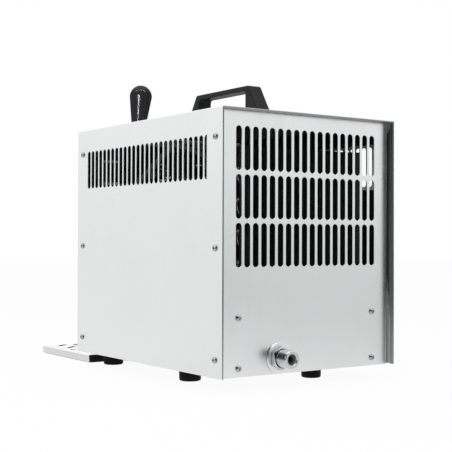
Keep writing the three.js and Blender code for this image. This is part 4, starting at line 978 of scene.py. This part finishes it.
def make_inlet():
    place = (INLET_X, REAR_FACE, INLET_Z)
    washer = [(12.2, 0.3), (19.6, 0.3), (20, 0.6), (20, 1.5), (19.5, 2.0), (18.6, 2.1), (12.2, 2.1)]
    turned_piece("inlet_washer_plate", washer, place, "rear", "satin_stainless", ("inlet_washer",), 96,
                 smooth=30)
    piece("inlet_lock_nut", hex_nut(12.2, 15.5, 2.4, 8.4, "rear", place), "chrome_plate", ("inlet_nut",),
          smooth=30)
    barrel = [(4, -14.5), (6.1, -14.5), (6.5, -14.1), (6.5, -4.5), (14.6, -4.5), (15, -4.1), (15, -1.5),
              (11.5, -1.5), (11.5, 25.8), (11.3, 26.4), (10.9, 26.8), (10.4, 27), (8.1, 27), (7.5, 26.8),
              (7.1, 26.3), (4.5, 20.6), (4, 19.8)]
    turned_piece("inlet_barrel_fitting", barrel, place, "rear", "chrome_plate", ("inlet_fitting",), 72,
                 smooth=34)
    # A grey cone and a dark rubber sleeve inside the fitting's mouth: painted shade in the bore.
    cone = [(6.9, 26.2), (4.3, 20.5), (3.9, 19.6), (3.9, 14.0), (3.6, 14.0), (3.6, 19.9), (4.0, 20.9),
            (6.3, 26.2)]
    turned_piece("inlet_shaded_cone_seat", cone, place, "rear", "galvanised_sheet", (), 48, smooth=34)
    seal = [(3.5, 18.6), (3.5, 8.0), (2.9, 8.0), (2.9, 18.6)]
    turned_piece("inlet_bore_shade_sleeve", seal, place, "rear", "foot_rubber", (), 48, smooth=34)


# ---------------------------------------------------------------- drip tray

def rim_line(x, y0, y1, corner, inset, steps=6, open_rear=True):
    """Points round the tray from its rear left corner over the front to its rear right corner, drawn in by
    inset, and round the rear corners too where the rear isn't open."""
    x, y0 = x - inset, y0 + inset
    r = max(corner - inset, 0.05)
    rear = y1 if open_rear else y1 - inset - r
    bend = quarter(steps)
    line = [(-x, rear)] + [(-x + r - r * cos(a), y0 + r - r * sin(a)) for a in bend]
    line += [(x - r + r * sin(a), y0 + r - r * cos(a)) for a in bend] + [(x, rear)]
    if not open_rear:
        line += [(x - r + r * cos(a), rear + r * sin(a)) for a in bend[1:]]
        line += [(-x + r - r * sin(a), rear + r * cos(a)) for a in bend[:-1]]
    return line


def grid_slots():
    """Loops of the slots: short straight ones in the middle row, and leaning ones in the rows beside it."""
    middle = (TRAY_FRONT + TRAY_REAR) / 2
    spots = [(column * SLOT_PITCH, 0.0, 11.0, 0.0) for column in range(-4, 5)]
    spots += [(side * (column - 0.5) * SLOT_PITCH, row * SLOT_ROW_PITCH, SLOT_LENGTH, side * SLOT_LEAN)
              for row in (-2, -1, 1, 2) for column in range(1, 5) for side in (-1, 1)]
    loops = []
    for x, y, length, lean in spots:
        turn = Matrix.Rotation(radians(lean - 90.0), 2)
        loop = [turn @ Vector(p) for p in slot_loop(0, 0, SLOT_WIDTH, length)]
        loops.append([(p.x + x, p.y + y + middle) for p in loop])
    return loops


def make_grid():
    solid = Solid()
    top, sheet, bend, ease = TRAY_TOP, 1.0, 1.6, 0.15
    outside = [(bend * (1 - sin(a)), top - bend * (1 - cos(a))) for a in quarter(5)]
    inside = [(bend - (bend - sheet) * sin(a), top - bend + (bend - sheet) * cos(a)) for a in quarter(5)]
    levels = outside + [(0.0, 1.15), (ease, 1.0), (sheet - ease, 1.0), (sheet, 1.15)] + inside[::-1]
    rows = [solid.loop([(x, y, z) for x, y in rim_line(TRAY_SIDE, TRAY_FRONT, TRAY_REAR, 2.4, inset)])
            for inset, z in levels]
    for one, two in zip(rows, rows[1:]):
        solid.strip(one, two, closed=False)
    edges = solid.punched(grid_slots(), top, top - sheet, ease, standing)
    for row, inner in zip((rows[0], rows[-1]), edges):
        solid.flat([(i, solid.points[i][:2]) for i in row], inner)
    left, right = [row[0] for row in rows], [row[-1] for row in rows]
    solid.faces += [(left[0], left[-1], right[-1], right[0]), tuple(left), tuple(right)]
    plate = piece("drip_grid_plate", solid, "satin_stainless", ("drip_grid",), "grid", weighted=True)
    # The grid's upright sides get the darker copy of the steel, as painted shade.
    refinished(plate, "skirt_shade_stainless",
               lambda x, y, z, normal: abs(normal.z) < 0.7 and z < top - 0.2 * bend)


def make_pan():
    side, front, rear, rim, wall = TRAY_SIDE - 1.3, TRAY_FRONT + 1.3, TRAY_REAR, 10.7, 1.8
    levels = [(0.9, 0.0), (0.25, 0.25), (0.0, 0.9), (0.0, rim - 0.5), (0.15, rim - 0.15), (0.5, rim),
              (1.3, rim), (1.65, rim - 0.15), (wall, rim - 0.5), (wall, 3.0), (2.1, 2.2), (2.9, 1.8)]
    pan = Solid().stack([[(x, y, z) for x, y in rim_line(side, front, rear, 7.0, inset, 8, False)]
                         for inset, z in levels])
    hook = [(-1.0, 2.0), (25.6, 2.0), (26.0, 2.4), (26.0, 18.4), (25.6, 19.0), (24.6, 19.0), (24.2, 18.4),
            (24.2, 4.6), (23.4, 3.8), (-1.0, 3.8)]
    for x in (-58.0, 58.0):
        pan = combined(pan, Solid().bar([(rear + a, b) for a, b in hook], (x - 12, x + 12)), "UNION")
    piece("drip_pan_dish", pan, "black_plastic", ("drip_pan",), "pan", 34, True)


# ---------------------------------------------------------------- cooling parts behind the vents

def cad(node):
    """Lowest and highest corner of a CAD node, in millimetres."""
    return tuple(Vector(corner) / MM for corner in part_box(node))


def dress(node, slot, ease):
    """Gives a CAD node whose own shape stays its finish, and eases its edges."""
    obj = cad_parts[node]
    for holder in obj.material_slots:
        holder.material = FINISH[slot]
    bevelled(obj, ease)


def make_shade_lining():
    """Dark foam linings that darken the inside of the case seen through the vents, as painted shade: a sheet
    behind the front panel, cut out round the tap's nut, the thermostat and the switch, and foam under the
    roof and on both side walls."""
    half, face, thick = PANEL_SIDE - 2.7, FRONT_FACE + 1.5, 3.0
    holes = [round_loop(half, TAP_Z, 18.0, 48)]
    for node in ("thermostat_body", "switch_housing"):
        low, high = cad(node)
        holes.append(box_loop((low.x + high.x) / 2 + half, TAP_Z, high.x - low.x + 4, high.z - low.z + 4))
    lining = folded_strip([(-half, face), (half, face)], 0, thick, 36.0, 334.0, standing, {0: holes},
                          None, 0.3)
    piece("front_shade_lining", lining, "dark_foam", smooth=0)
    side, top, front, rear, edge = CASE_SIDE - 1.6, CASE_TOP - 1.6, -86.0, 228.0, 321.0
    studs = [round_loop(side, y, 6.0, 32) for y in (HANDLE_Y - 77.0, HANDLE_Y + 77.0)]
    path = [(side, edge), (side, top), (-side, top), (-side, edge)]
    roof = folded_strip(path, 4.5, thick, front, rear, lying, {1: studs}, None, 0.3)
    piece("roof_shade_lining", roof, "dark_foam", smooth=0)
    for name, x in (("left_shade_lining", -side), ("right_shade_lining", side - thick)):
        wall = Solid().block((x, front, 36.0), (x + thick, rear, 258.0), "x", 5.0, 0.4)
        piece(name, wall, "dark_foam", smooth=35)


def pipe_piece(name, corners, radius, bend, slot, node, finish=None):
    piece(name, Solid().tube(pipe_route(corners, bend), radius, 20), slot, (node,), smooth=50, finish=finish)


def make_beer_lines():
    x, run = INLET_X, 101.1
    into = [(x, 241.2, INLET_Z), (x, 189.2, INLET_Z), (x, 149.2, run), (x, 10.8, run)]
    out = [(0, -42.9, 236.4), (0, -42.9, TAP_Z), (0, -88.7, TAP_Z)]
    for node, corners in (("beer_line_in", into), ("beer_line_out", out)):
        pipe_piece(node + "_tube", corners, BEER_LINE_RADIUS, 18, "stainless_tube", node)


def make_refrigerant_pipes():
    """The sleeved hot gas pipe, the suction pipe, and the filter drier with its thin copper tubes."""
    low, high = cad("condenser")
    x, y, z = high.x - 9.0, low.y - 0.3, high.z - 14.0
    pipe_piece("hot_gas_tube", [(6.3, 77, 116.8), (127, 77, 116.8), (127, 17, 256), (127, 137, 316),
                                (x, y - 29.7, z), (x, y, z)], PIPE_RADIUS, 15, "dark_foam", "hot_gas_pipe",
               "sleeve_foam")
    pipe_piece("suction_tube", [(18.3, 10.8, 172.8), (18.3, 95, 172.8), (18.3, 95, 146.8), (6.3, 95, 146.8)],
               PIPE_RADIUS, 10, "copper_tube", "suction_pipe")
    drier_x, z, groove = 58.0, 156.8, [(9, 0.0), (8.7, 0.6), (8.7, 2.4), (9, 3.0)]
    ends = [(2.3 + 6.7 * sin(a), 8 - 8 * cos(a)) for a in quarter(6)]
    profile = [(0, 0)] + ends + [(r, 8.6 + d) for r, d in groove] + [(r, 58.4 + d) for r, d in groove]
    profile += [(r, 70 - d) for r, d in reversed(ends)] + [(0, 70)]
    drier = Solid().lathe(profile, (drier_x, 178, z), "front", 48)
    drier.tube(pipe_route([(x, y, z), (x, 190, z), (drier_x, 190, z), (drier_x, 170, z)], 10), 2.0, 14)
    drier.tube(pipe_route([(drier_x, 116, z), (drier_x, 10.8, z)], 10), 2.0, 14)
    piece("filter_drier_copper", drier, "copper_tube", ("filter_drier",), smooth=40)


def make_compressor():
    """A welded steel shell on its plate, with rubber grommets, a crimped filling tube and two pipe stubs."""
    x, y, z, r, height, dish = -60.0, 95.0, 30.8, 57.0, 150.0, 22
    profile = [(0, 0)] + [(r * sin(a), dish - dish * cos(a)) for a in quarter(12, 1)]
    profile += [(57, 71.5), (57.6, 72.3), (58.4, 72.7), (58.5, 73.4), (58.5, 74.6), (57.9, 75.0),
                (58.4, 75.5), (58.5, 76.6), (58.3, 77.4), (57.5, 77.8), (57, 78.6)]
    profile += [(r * cos(a), height - dish + dish * sin(a)) for a in quarter(12, 0, 11)] + [(0, height)]
    shell = Solid().lathe(profile, (x, y, z), "up", 96)
    for stub_y, stub_z in ((95.0, 146.8), (77.0, 116.8)):
        stub = (x, stub_y, stub_z)
        shell.lathe([(0, 40), (5, 40), (5, 64.8), (4.6, 65.6), (4.2, 66), (0, 66)], stub, "right", 24)
        shell.lathe([(0, 50), (8.5, 50), (7.8, 56.5), (6.2, 58.6), (5.2, 59.4), (0, 59.4)], stub, "right", 32)
    piece("compressor_shell", shell, "black_paint", ("compressor",), smooth=35)
    plate = Solid().block((x - 63, y - 52, z), (x + 63, y + 52, z + 3), "z", 12, 0.6)
    grommet = [(0, -10), (7.4, -10), (8, -9.4), (8, -6), (6.6, -5), (6.6, -3.6), (8, -2.6), (8, -0.8),
               (7.6, -0.3), (4.4, -0.3), (4.4, 3.3), (7.6, 3.3), (7.9, 4.2), (7.2, 6.2), (3.4, 6.6), (0, 6.6)]
    rubber = Solid()
    for side_x in (-52, 52):
        plate.block((x + side_x - 4, y - 30, z + 2.5), (x + side_x + 4, y + 30, z + 6), "z", 4, 1.2)
        for side_y in (-41, 41):
            rubber.lathe(grommet, (x + side_x, y + side_y, z), "up", 32)
    piece("compressor_plate", plate, "black_paint", smooth=35)
    piece("compressor_grommets", rubber, "foot_rubber", smooth=40)
    route = pipe_route([(x + 48, y - 22, z + 96), (x + 62, y - 28, z + 96), (x + 62, y - 28, z + 128)], 7)
    piece("compressor_filling_tube", Solid().tube(route, 3.0, 16, 1.6), "copper_tube", smooth=45)
    low, high = cad("compressor_terminal_cover")
    cover = Solid().block(low, high, "x", 5, 2.5, 4)
    for k in range(4):
        level = low.z + 10 + 9 * k
        cover.block((low.x + 0.1, low.y + 7, level), (low.x + 5, high.y - 7, level + 3), "x", 1.4, 0.1)
    piece("compressor_terminal_box", cover, "black_plastic", ("compressor_terminal_cover",), smooth=35)


def make_condenser():
    """Two banks of tube with return bends, through a pack of thin fins between two side sheets."""
    low, high = cad("condenser")
    left, right = low.x + 15.0, high.x - 15.0
    rows, count = 10, 84
    pitch = (high.z - low.z - 13.0) / (rows - 1)
    fins, sheets, tubes = Solid(), Solid(), Solid()
    for i in range(count):
        x = left + 2 + (right - left - 4.6) * i / (count - 1)
        edge = [(x + 0.3 * (-1) ** k, low.y + 0.4 + (high.y - low.y - 0.8) * k / 8) for k in range(9)]
        fins.bar(edge + [(a + 0.28, b) for a, b in reversed(edge)], (low.z + 0.4, high.z - 0.6), standing)
    piece("condenser_fins", fins, "black_paint", ("condenser",), smooth=0)
    y0, y1 = low.y, high.y
    for x, out in ((left, -1), (right, 1)):
        far = x + out * 14.8
        line = [(x, y0), (far, y0), (far, y0 + 1), (x + out, y0 + 1), (x + out, y1 - 1), (far, y1 - 1),
                (far, y1), (x, y1)]
        sheets.bar(line, (low.z, high.z), standing)
    bevelled(piece("condenser_side_sheets", sheets, "black_paint", smooth=0), 0.3, 2, 50.0)
    ends = (low.x + 4.2, high.x - 4.2)
    for y in (low.y + 10.0, high.y - 10.0):
        levels = [low.z + 6.5 + row * pitch for row in range(rows)]
        corners = [(right + 5.0, y, levels[0])]
        for row, z in enumerate(levels[:-1]):
            corners += [(ends[row % 2], y, z), (ends[row % 2], y, z + pitch)]
        corners.append((right + 5.0, y, levels[-1]))
        tubes.tube(pipe_route(corners, pitch * 0.49, 6), PIPE_RADIUS, 16)
    piece("condenser_tubes", tubes, "stainless_tube", smooth=50)


def make_fan():
    motor_low, motor_high = cad("fan_motor")
    x, z = (motor_low.x + motor_high.x) / 2, (motor_low.z + motor_high.z) / 2
    low, high = cad("fan_shroud")
    rear = high.y
    bore = (cad("fan_rotor")[1].x - x) + 3.0
    path = [(high.x, rear - 9), (high.x, rear), (low.x, rear), (low.x, rear - 9)]
    hole = round_loop(high.x - x, z, bore + 2.4, 72)
    plate = folded_strip(path, 2.4, 1.2, low.z, high.z, standing, {1: [hole]})
    piece("fan_shroud_plate", plate, "galvanised_sheet", ("fan_shroud",), weighted=True)
    mouth = [(3.4, 1.3), (1.6, 1.9), (0.5, 3.4), (0.1, 6.0), (0, 14.2), (0.2, 15.0), (1.0, 15.2), (1.2, 14.4),
             (1.3, 6.2), (1.7, 4.0), (2.6, 2.9), (3.4, 2.5)]
    turned_piece("fan_shroud_mouth", [(bore + r, d) for r, d in mouth], (x, rear, z), "front",
                 "galvanised_sheet", (), 96, smooth=50)
    front, arm = motor_low.y - 0.3, x - (low.x + 12.0)
    strap = [(x - arm, rear - 1.2), (x - arm, front - 2.4), (x + arm, front - 2.4), (x + arm, rear - 1.2)]
    bracket = folded_strip(strap, 4.0, 2.4, z - 6, z + 6, standing, None, None, 0.4)
    piece("fan_motor_strap", bracket, "galvanised_sheet", weighted=True)
    make_fan_motor(x, z, motor_high.x - x, cad("fan_rotor")[0].y - 5.0)
    make_fan_rotor(x, z)


def make_fan_motor(x, z, r, rear):
    """A small motor: two end caps, a laminated stack between them and a shaft."""
    profile = [(0, 0), (9, 0), (9, 1.6), (22, 2.2), (26, 3.4), (27.2, 5.5), (r - 0.4, 6.0)]
    along = 6.2
    while along < 17.6:
        profile += [(r, along), (r, along + 0.7), (r - 0.35, along + 0.8), (r - 0.35, along + 1.1)]
        along += 1.2
    profile += [(27.0, 18.4), (25.6, 21.0), (21, 22.6), (9, 23.2), (9, 24), (0, 24)]
    motor = Solid().lathe(profile, (x, rear, z), "front", 72)
    for k in range(4):
        angle = TURN * (k + 0.5) / 4
        spot = (x + 20 * cos(angle), rear, z + 20 * sin(angle))
        motor.lathe([(0, 20), (2.6, 20), (2.6, 23.4), (2.2, 24), (0, 24)], spot, "front", 6)
        motor.lathe([(0, -0.2), (2.6, -0.2), (2.6, 4), (0, 4)], spot, "front", 6)
    piece("fan_motor_case", motor, "black_paint", ("fan_motor",), smooth=35)
    shaft = [(0, -1), (3, -1), (3, 20.1), (2.4, 20.7), (0, 20.7)]
    turned_piece("fan_motor_shaft", shaft, (x, rear, z), "rear", "stainless_tube", (), 24, False, smooth=40)


def make_fan_rotor(x, z):
    """A hub with five cambered blades that twist towards their tips."""
    low, high = cad("fan_rotor")
    hub, tip, y = 20.0, high.x - x, (low.y + high.y) / 2
    depth = high.y - low.y
    profile = [(3.3, 0.6), (3.9, 0), (11, 0), (12, 2.4), (15.6, 2.8), (16.4, 0.4), (18.6, 0), (19.6, 0.5),
               (hub, 1.6), (hub, depth - 1), (hub - 1, depth), (8, depth), (7.6, depth - 4), (3.3, depth - 4)]
    rotor = Solid().lathe(profile, (x, high.y, z), "front", 60, True)
    for blade in range(5):
        loops = []
        for t in [k / 10 for k in range(11)]:
            r = hub - 2 + (tip - hub + 2) * t
            end = sqrt(max(0.0, 1 - max(0.0, (t - 0.82) / 0.19) ** 2))
            chord, pitch = (24 + 8 * t) * (0.35 + 0.65 * end), radians(36 - 12 * t)
            upper, lower = [], []
            for s in [j / 10 - 0.5 for j in range(11)]:
                for line, half in ((upper, 0.8), (lower, -0.8)):
                    away = 1.3 * (1 - 4 * s * s) + half * (1 - 0.8 * (2 * s) ** 4)
                    angle = TURN * blade / 5 + (chord * s * cos(pitch) - away * sin(pitch)) / r
                    line.append((x + r * cos(angle), y + chord * s * sin(pitch) + away * cos(pitch),
                                 z + r * sin(angle)))
            loops.append(upper + lower[::-1])
        rotor.stack(loops)
    piece("fan_rotor_moulding", rotor, "black_plastic", ("fan_rotor",), "fan", 40)


# ---------------------------------------------------------------- controls

def make_thermostat():
    low, high = cad("thermostat_body")
    dial = (-CONTROL_X, FRONT_FACE, TAP_Z)
    body = Solid().block((low.x, FRONT_FACE + 1.5, low.z), (high.x, high.y, high.z), "y", 2.5, 1.0)
    for x in (low.x + 9, low.x + 20, high.x - 9):
        body.block((x - 3, high.y - 1.2, TAP_Z - 9), (x + 3, high.y - 0.1, TAP_Z + 9), "y", 1, 0.1)
    body.lathe([(0, -2), (3, -2), (3, 11.6), (2.6, 12), (0, 12)], dial, "front", 32)
    piece("thermostat_case", body, "black_plastic", ("thermostat_body",), smooth=35)
    levels = [(3.5, 0.6), (19.6, 0.6), (20, 1.0), (20, 1.9), (19.5, 2.4), (15.4, 2.5), (15.0, 3.0, 1),
              (13.8, 14.6, 1), (13.3, 15.6), (12.6, 16.0), (10.4, 16.0), (9.8, 15.4), (3.5, 15.4)]
    knob = Solid().stack(rings(levels, dial, "front", 180, ribbed(6, -0.5)), ring=True)
    x, y, z = dial
    pointer = Solid().block((x - 1.2, y - 16.8, z + 4.4), (x + 1.2, y - 2.0, z + 15.0), "y", 0.8, 0.4)
    piece("thermostat_knob_moulding", combined(knob, pointer, "UNION"), "black_plastic", ("thermostat_knob",),
          "thermostat_dial", 30)


def make_switch():
    x, z, front = CONTROL_X, TAP_Z, FRONT_FACE - 2.5
    bezel = Solid().block((x - 13, front, z - 17), (x + 13, FRONT_FACE - 0.3, z + 17), "y", 3.5, 0.9)
    body = Solid().block((x - 10.5, front + 1.2, z - 14.5), (x + 10.5, front + 18, z + 14.5), "y", 1.5, 0.5)
    pocket = Solid().block((x - 7.5, front - 3, z - 13), (x + 7.5, front + 9, z + 13), "y", 0.8, 0.1)
    piece("switch_frame_moulding", combined(combined(bezel, body, "UNION"), pocket, "DIFFERENCE"),
          "black_plastic", ("switch_housing",), smooth=32)
    half, back, crown = 12.2, 2.75, 1.6
    face = [(-back - crown * (abs(k) / 8) ** 1.6, half * k / 8) for k in range(-8, 9)]
    line = [(back, -half + 0.4), (back - 0.4, -half)]
    line += [(a + (0.5 if abs(b) > half - 0.1 else 0), b) for a, b in face]
    line += [(back - 0.4, half), (back, half - 0.4)]
    tilt = Matrix.Translation(Vector((x, front + back, z))) @ Matrix.Rotation(radians(-8), 4, "X")
    loops = []
    for x, inset in ((-7.1, 0.5), (-6.95, 0.15), (-6.6, 0.0), (6.6, 0.0), (6.95, 0.15), (7.1, 0.5)):
        loops.append([tilt @ Vector((x, max(-back - crown, a) + (inset if a < 0 else -inset),
                                     b * (1 - inset / half))) for a, b in line])
    piece("switch_rocker_key", Solid().stack(loops), "gloss_black", ("switch_rocker",), "power_rocker", 35)


def make_gland():
    """The bushing under the floor for the mains lead, with a round collar and a ribbed tail."""
    low, high = cad("cable_gland")
    profile = [(4, 13), (4.9, 13), (5.2, 13.3), (5.2, 13.8), (4.7, 14.0), (4.7, 14.5), (5.2, 14.7), (5.2, 15),
               (9.4, 15), (10, 15.5), (10, 18.5), (9.6, 19), (6, 19), (6, 25.9), (5.5, 26.5), (4, 26.5)]
    turned_piece("cable_gland_moulding", profile, ((low.x + high.x) / 2, (low.y + high.y) / 2, 0), "up",
                 "black_plastic", ("cable_gland",), 48, smooth=35)


# ---------------------------------------------------------------- stage and light

def along_heading(g, direction, heading):
    """How far a direction or place lies along a level heading."""
    ahead = (cos(radians(heading)), sin(radians(heading)), 0.0)
    return g.vectors("DOT_PRODUCT", direction, ahead)["Value"]


def make_stage():
    """A white floor. The camera sees it evenly lit, and in reflections it fades behind the case."""
    mesh = bpy.data.meshes.new("floor")
    mesh.from_pydata([(x, y, 0) for x, y in box_loop(0, 0, FLOOR_WIDTH, FLOOR_WIDTH)], [], [(0, 1, 2, 3)])
    floor = added("floor", mesh)
    g = new_material("white_floor", roughness=0.8)
    nodes = g.tree.nodes
    place = g.place()
    cloud = g.noise(place, 3.0, 3.0, 0.5)
    colour = g.mix(cloud, (0.86, 0.86, 0.86), (0.90, 0.90, 0.90))
    g.feed(nodes["Principled BSDF"].inputs["Base Color"], colour)
    ray = g.add("ShaderNodeLightPath").outputs
    far = g.times(g.ramp(along_heading(g, place, GAP_HEADING), *FLOOR_FADE),
                  g.ramp(along_heading(g, place, FLOOR_HEADING), *FLOOR_SHADE))
    strength = g.ramp(ray["Is Camera Ray"], 0.0, 1.0, far, 1.0)
    light = g.add("ShaderNodeEmission", {"Color": (1, 1, 1), "Strength": strength})
    mirrored = g.maths("MAXIMUM", ray["Is Glossy Ray"], ray["Is Transmission Ray"])
    seen = g.times(g.maths("MAXIMUM", ray["Is Camera Ray"], mirrored), 0.95)
    mix = g.add("ShaderNodeMixShader", {0: seen, 1: nodes["Principled BSDF"].outputs[0], 2: light.outputs[0]})
    g.feed(nodes["Material Output"].inputs["Surface"], mix.outputs[0])
    mesh.materials.append(FINISH["white_floor"])


def make_world():
    """A white tent of light. What metal mirrors has one dim gap in it, behind the dispenser."""
    world = bpy.data.worlds.new("studio")
    scene.world = world
    world.use_nodes = True
    g = Graph(world.node_tree)
    ray = g.add("ShaderNodeLightPath").outputs
    direction = g.add("ShaderNodeTexCoord").outputs["Generated"]
    height = g.height(direction)
    across = g.ramp(along_heading(g, direction, GAP_HEADING), *GAP_SIDES)
    upright = g.times(g.ramp(height, *GAP_LOW), g.ramp(height, *GAP_HIGH))
    tent = g.ramp(g.times(across, upright), 0.0, 1.0, g.ramp(height, *TENT), GAP)
    soft = g.ramp(ray["Is Glossy Ray"], 0.0, 1.0, PLAIN, tent)
    shown = g.maths("MAXIMUM", ray["Is Camera Ray"], ray["Is Transmission Ray"])
    background = world.node_tree.nodes["Background"].inputs
    g.feed(background["Color"], (1, 1, 1))
    g.feed(background["Strength"], g.ramp(shown, 0.0, 1.0, soft, 1.0))


def lamp(name, place, aim, size, power, only=None):
    data = bpy.data.lights.new(name, "AREA")
    data.shape, data.size, data.size_y, data.energy = "RECTANGLE", size[0], size[1], power
    obj = added(name, data)
    obj.location = place
    obj.rotation_mode = "QUATERNION"
    obj.rotation_quaternion = (Vector(aim) - Vector(place)).to_track_quat("-Z", "Y")
    if only:
        data.diffuse_factor = 0.0
        obj.visible_camera = False
        obj.light_linking.receiver_collection = only
        obj.light_linking.blocker_collection = only


def make_light(knob):
    """Two soft boxes, and narrow lights that only the gloss knob mirrors: one upright, and two above it."""
    lamp("top_softbox", (0.3, 0.6, 1.9), (0, 0.05, 0.2), (1.6, 1.6), 14)
    lamp("side_softbox", (1.9, 0.4, 0.9), (0, 0.05, 0.2), (1.2, 1.2), 7)
    only = bpy.data.collections.new("lit_by_strips")
    only.objects.link(knob)
    y, z = TAP_Y * MM, (PIVOT_Z + 70.0) * MM
    heading = radians(STRIP_HEADING)
    ahead = Vector((cos(heading), sin(heading), 0))
    aim = (0, y, STRIP_Z)
    lamp("strip_light", Vector(aim) + 0.8 * ahead, aim, (0.02, STRIP_LENGTH), 60, only)
    for name, away, power in (("high_strip_near", 0.85, 220), ("high_strip_far", -0.55, 50)):
        lamp(name, Vector((0, y, z + 2.0)) + away * ahead, (0, y, z), (4.0, 0.05), power, only)


make_camera()
make_materials()
make_cover()
make_panels()
make_screws()
make_feet()
make_handle()
make_tap_fixing()
make_tap_body()
make_levers()
knob = make_knob()
make_inlet()
make_grid()
make_pan()
make_shade_lining()
make_beer_lines()
make_compressor()
make_condenser()
make_fan()
make_refrigerant_pipes()
make_thermostat()
make_switch()
make_gland()
for node, slot, ease in (("base_plate", "galvanised_sheet", 0.3),
                         ("condenser_bracket", "galvanised_sheet", 0.3),
                         ("foam_tub", "dark_foam", 2.5), ("foam_lid", "dark_foam", 2.5),
                         ("cooling_block", "cast_aluminium", 1.5)):
    dress(node, slot, ease)
make_stage()
make_world()
make_light(knob)

scene.view_settings.view_transform = "Standard"
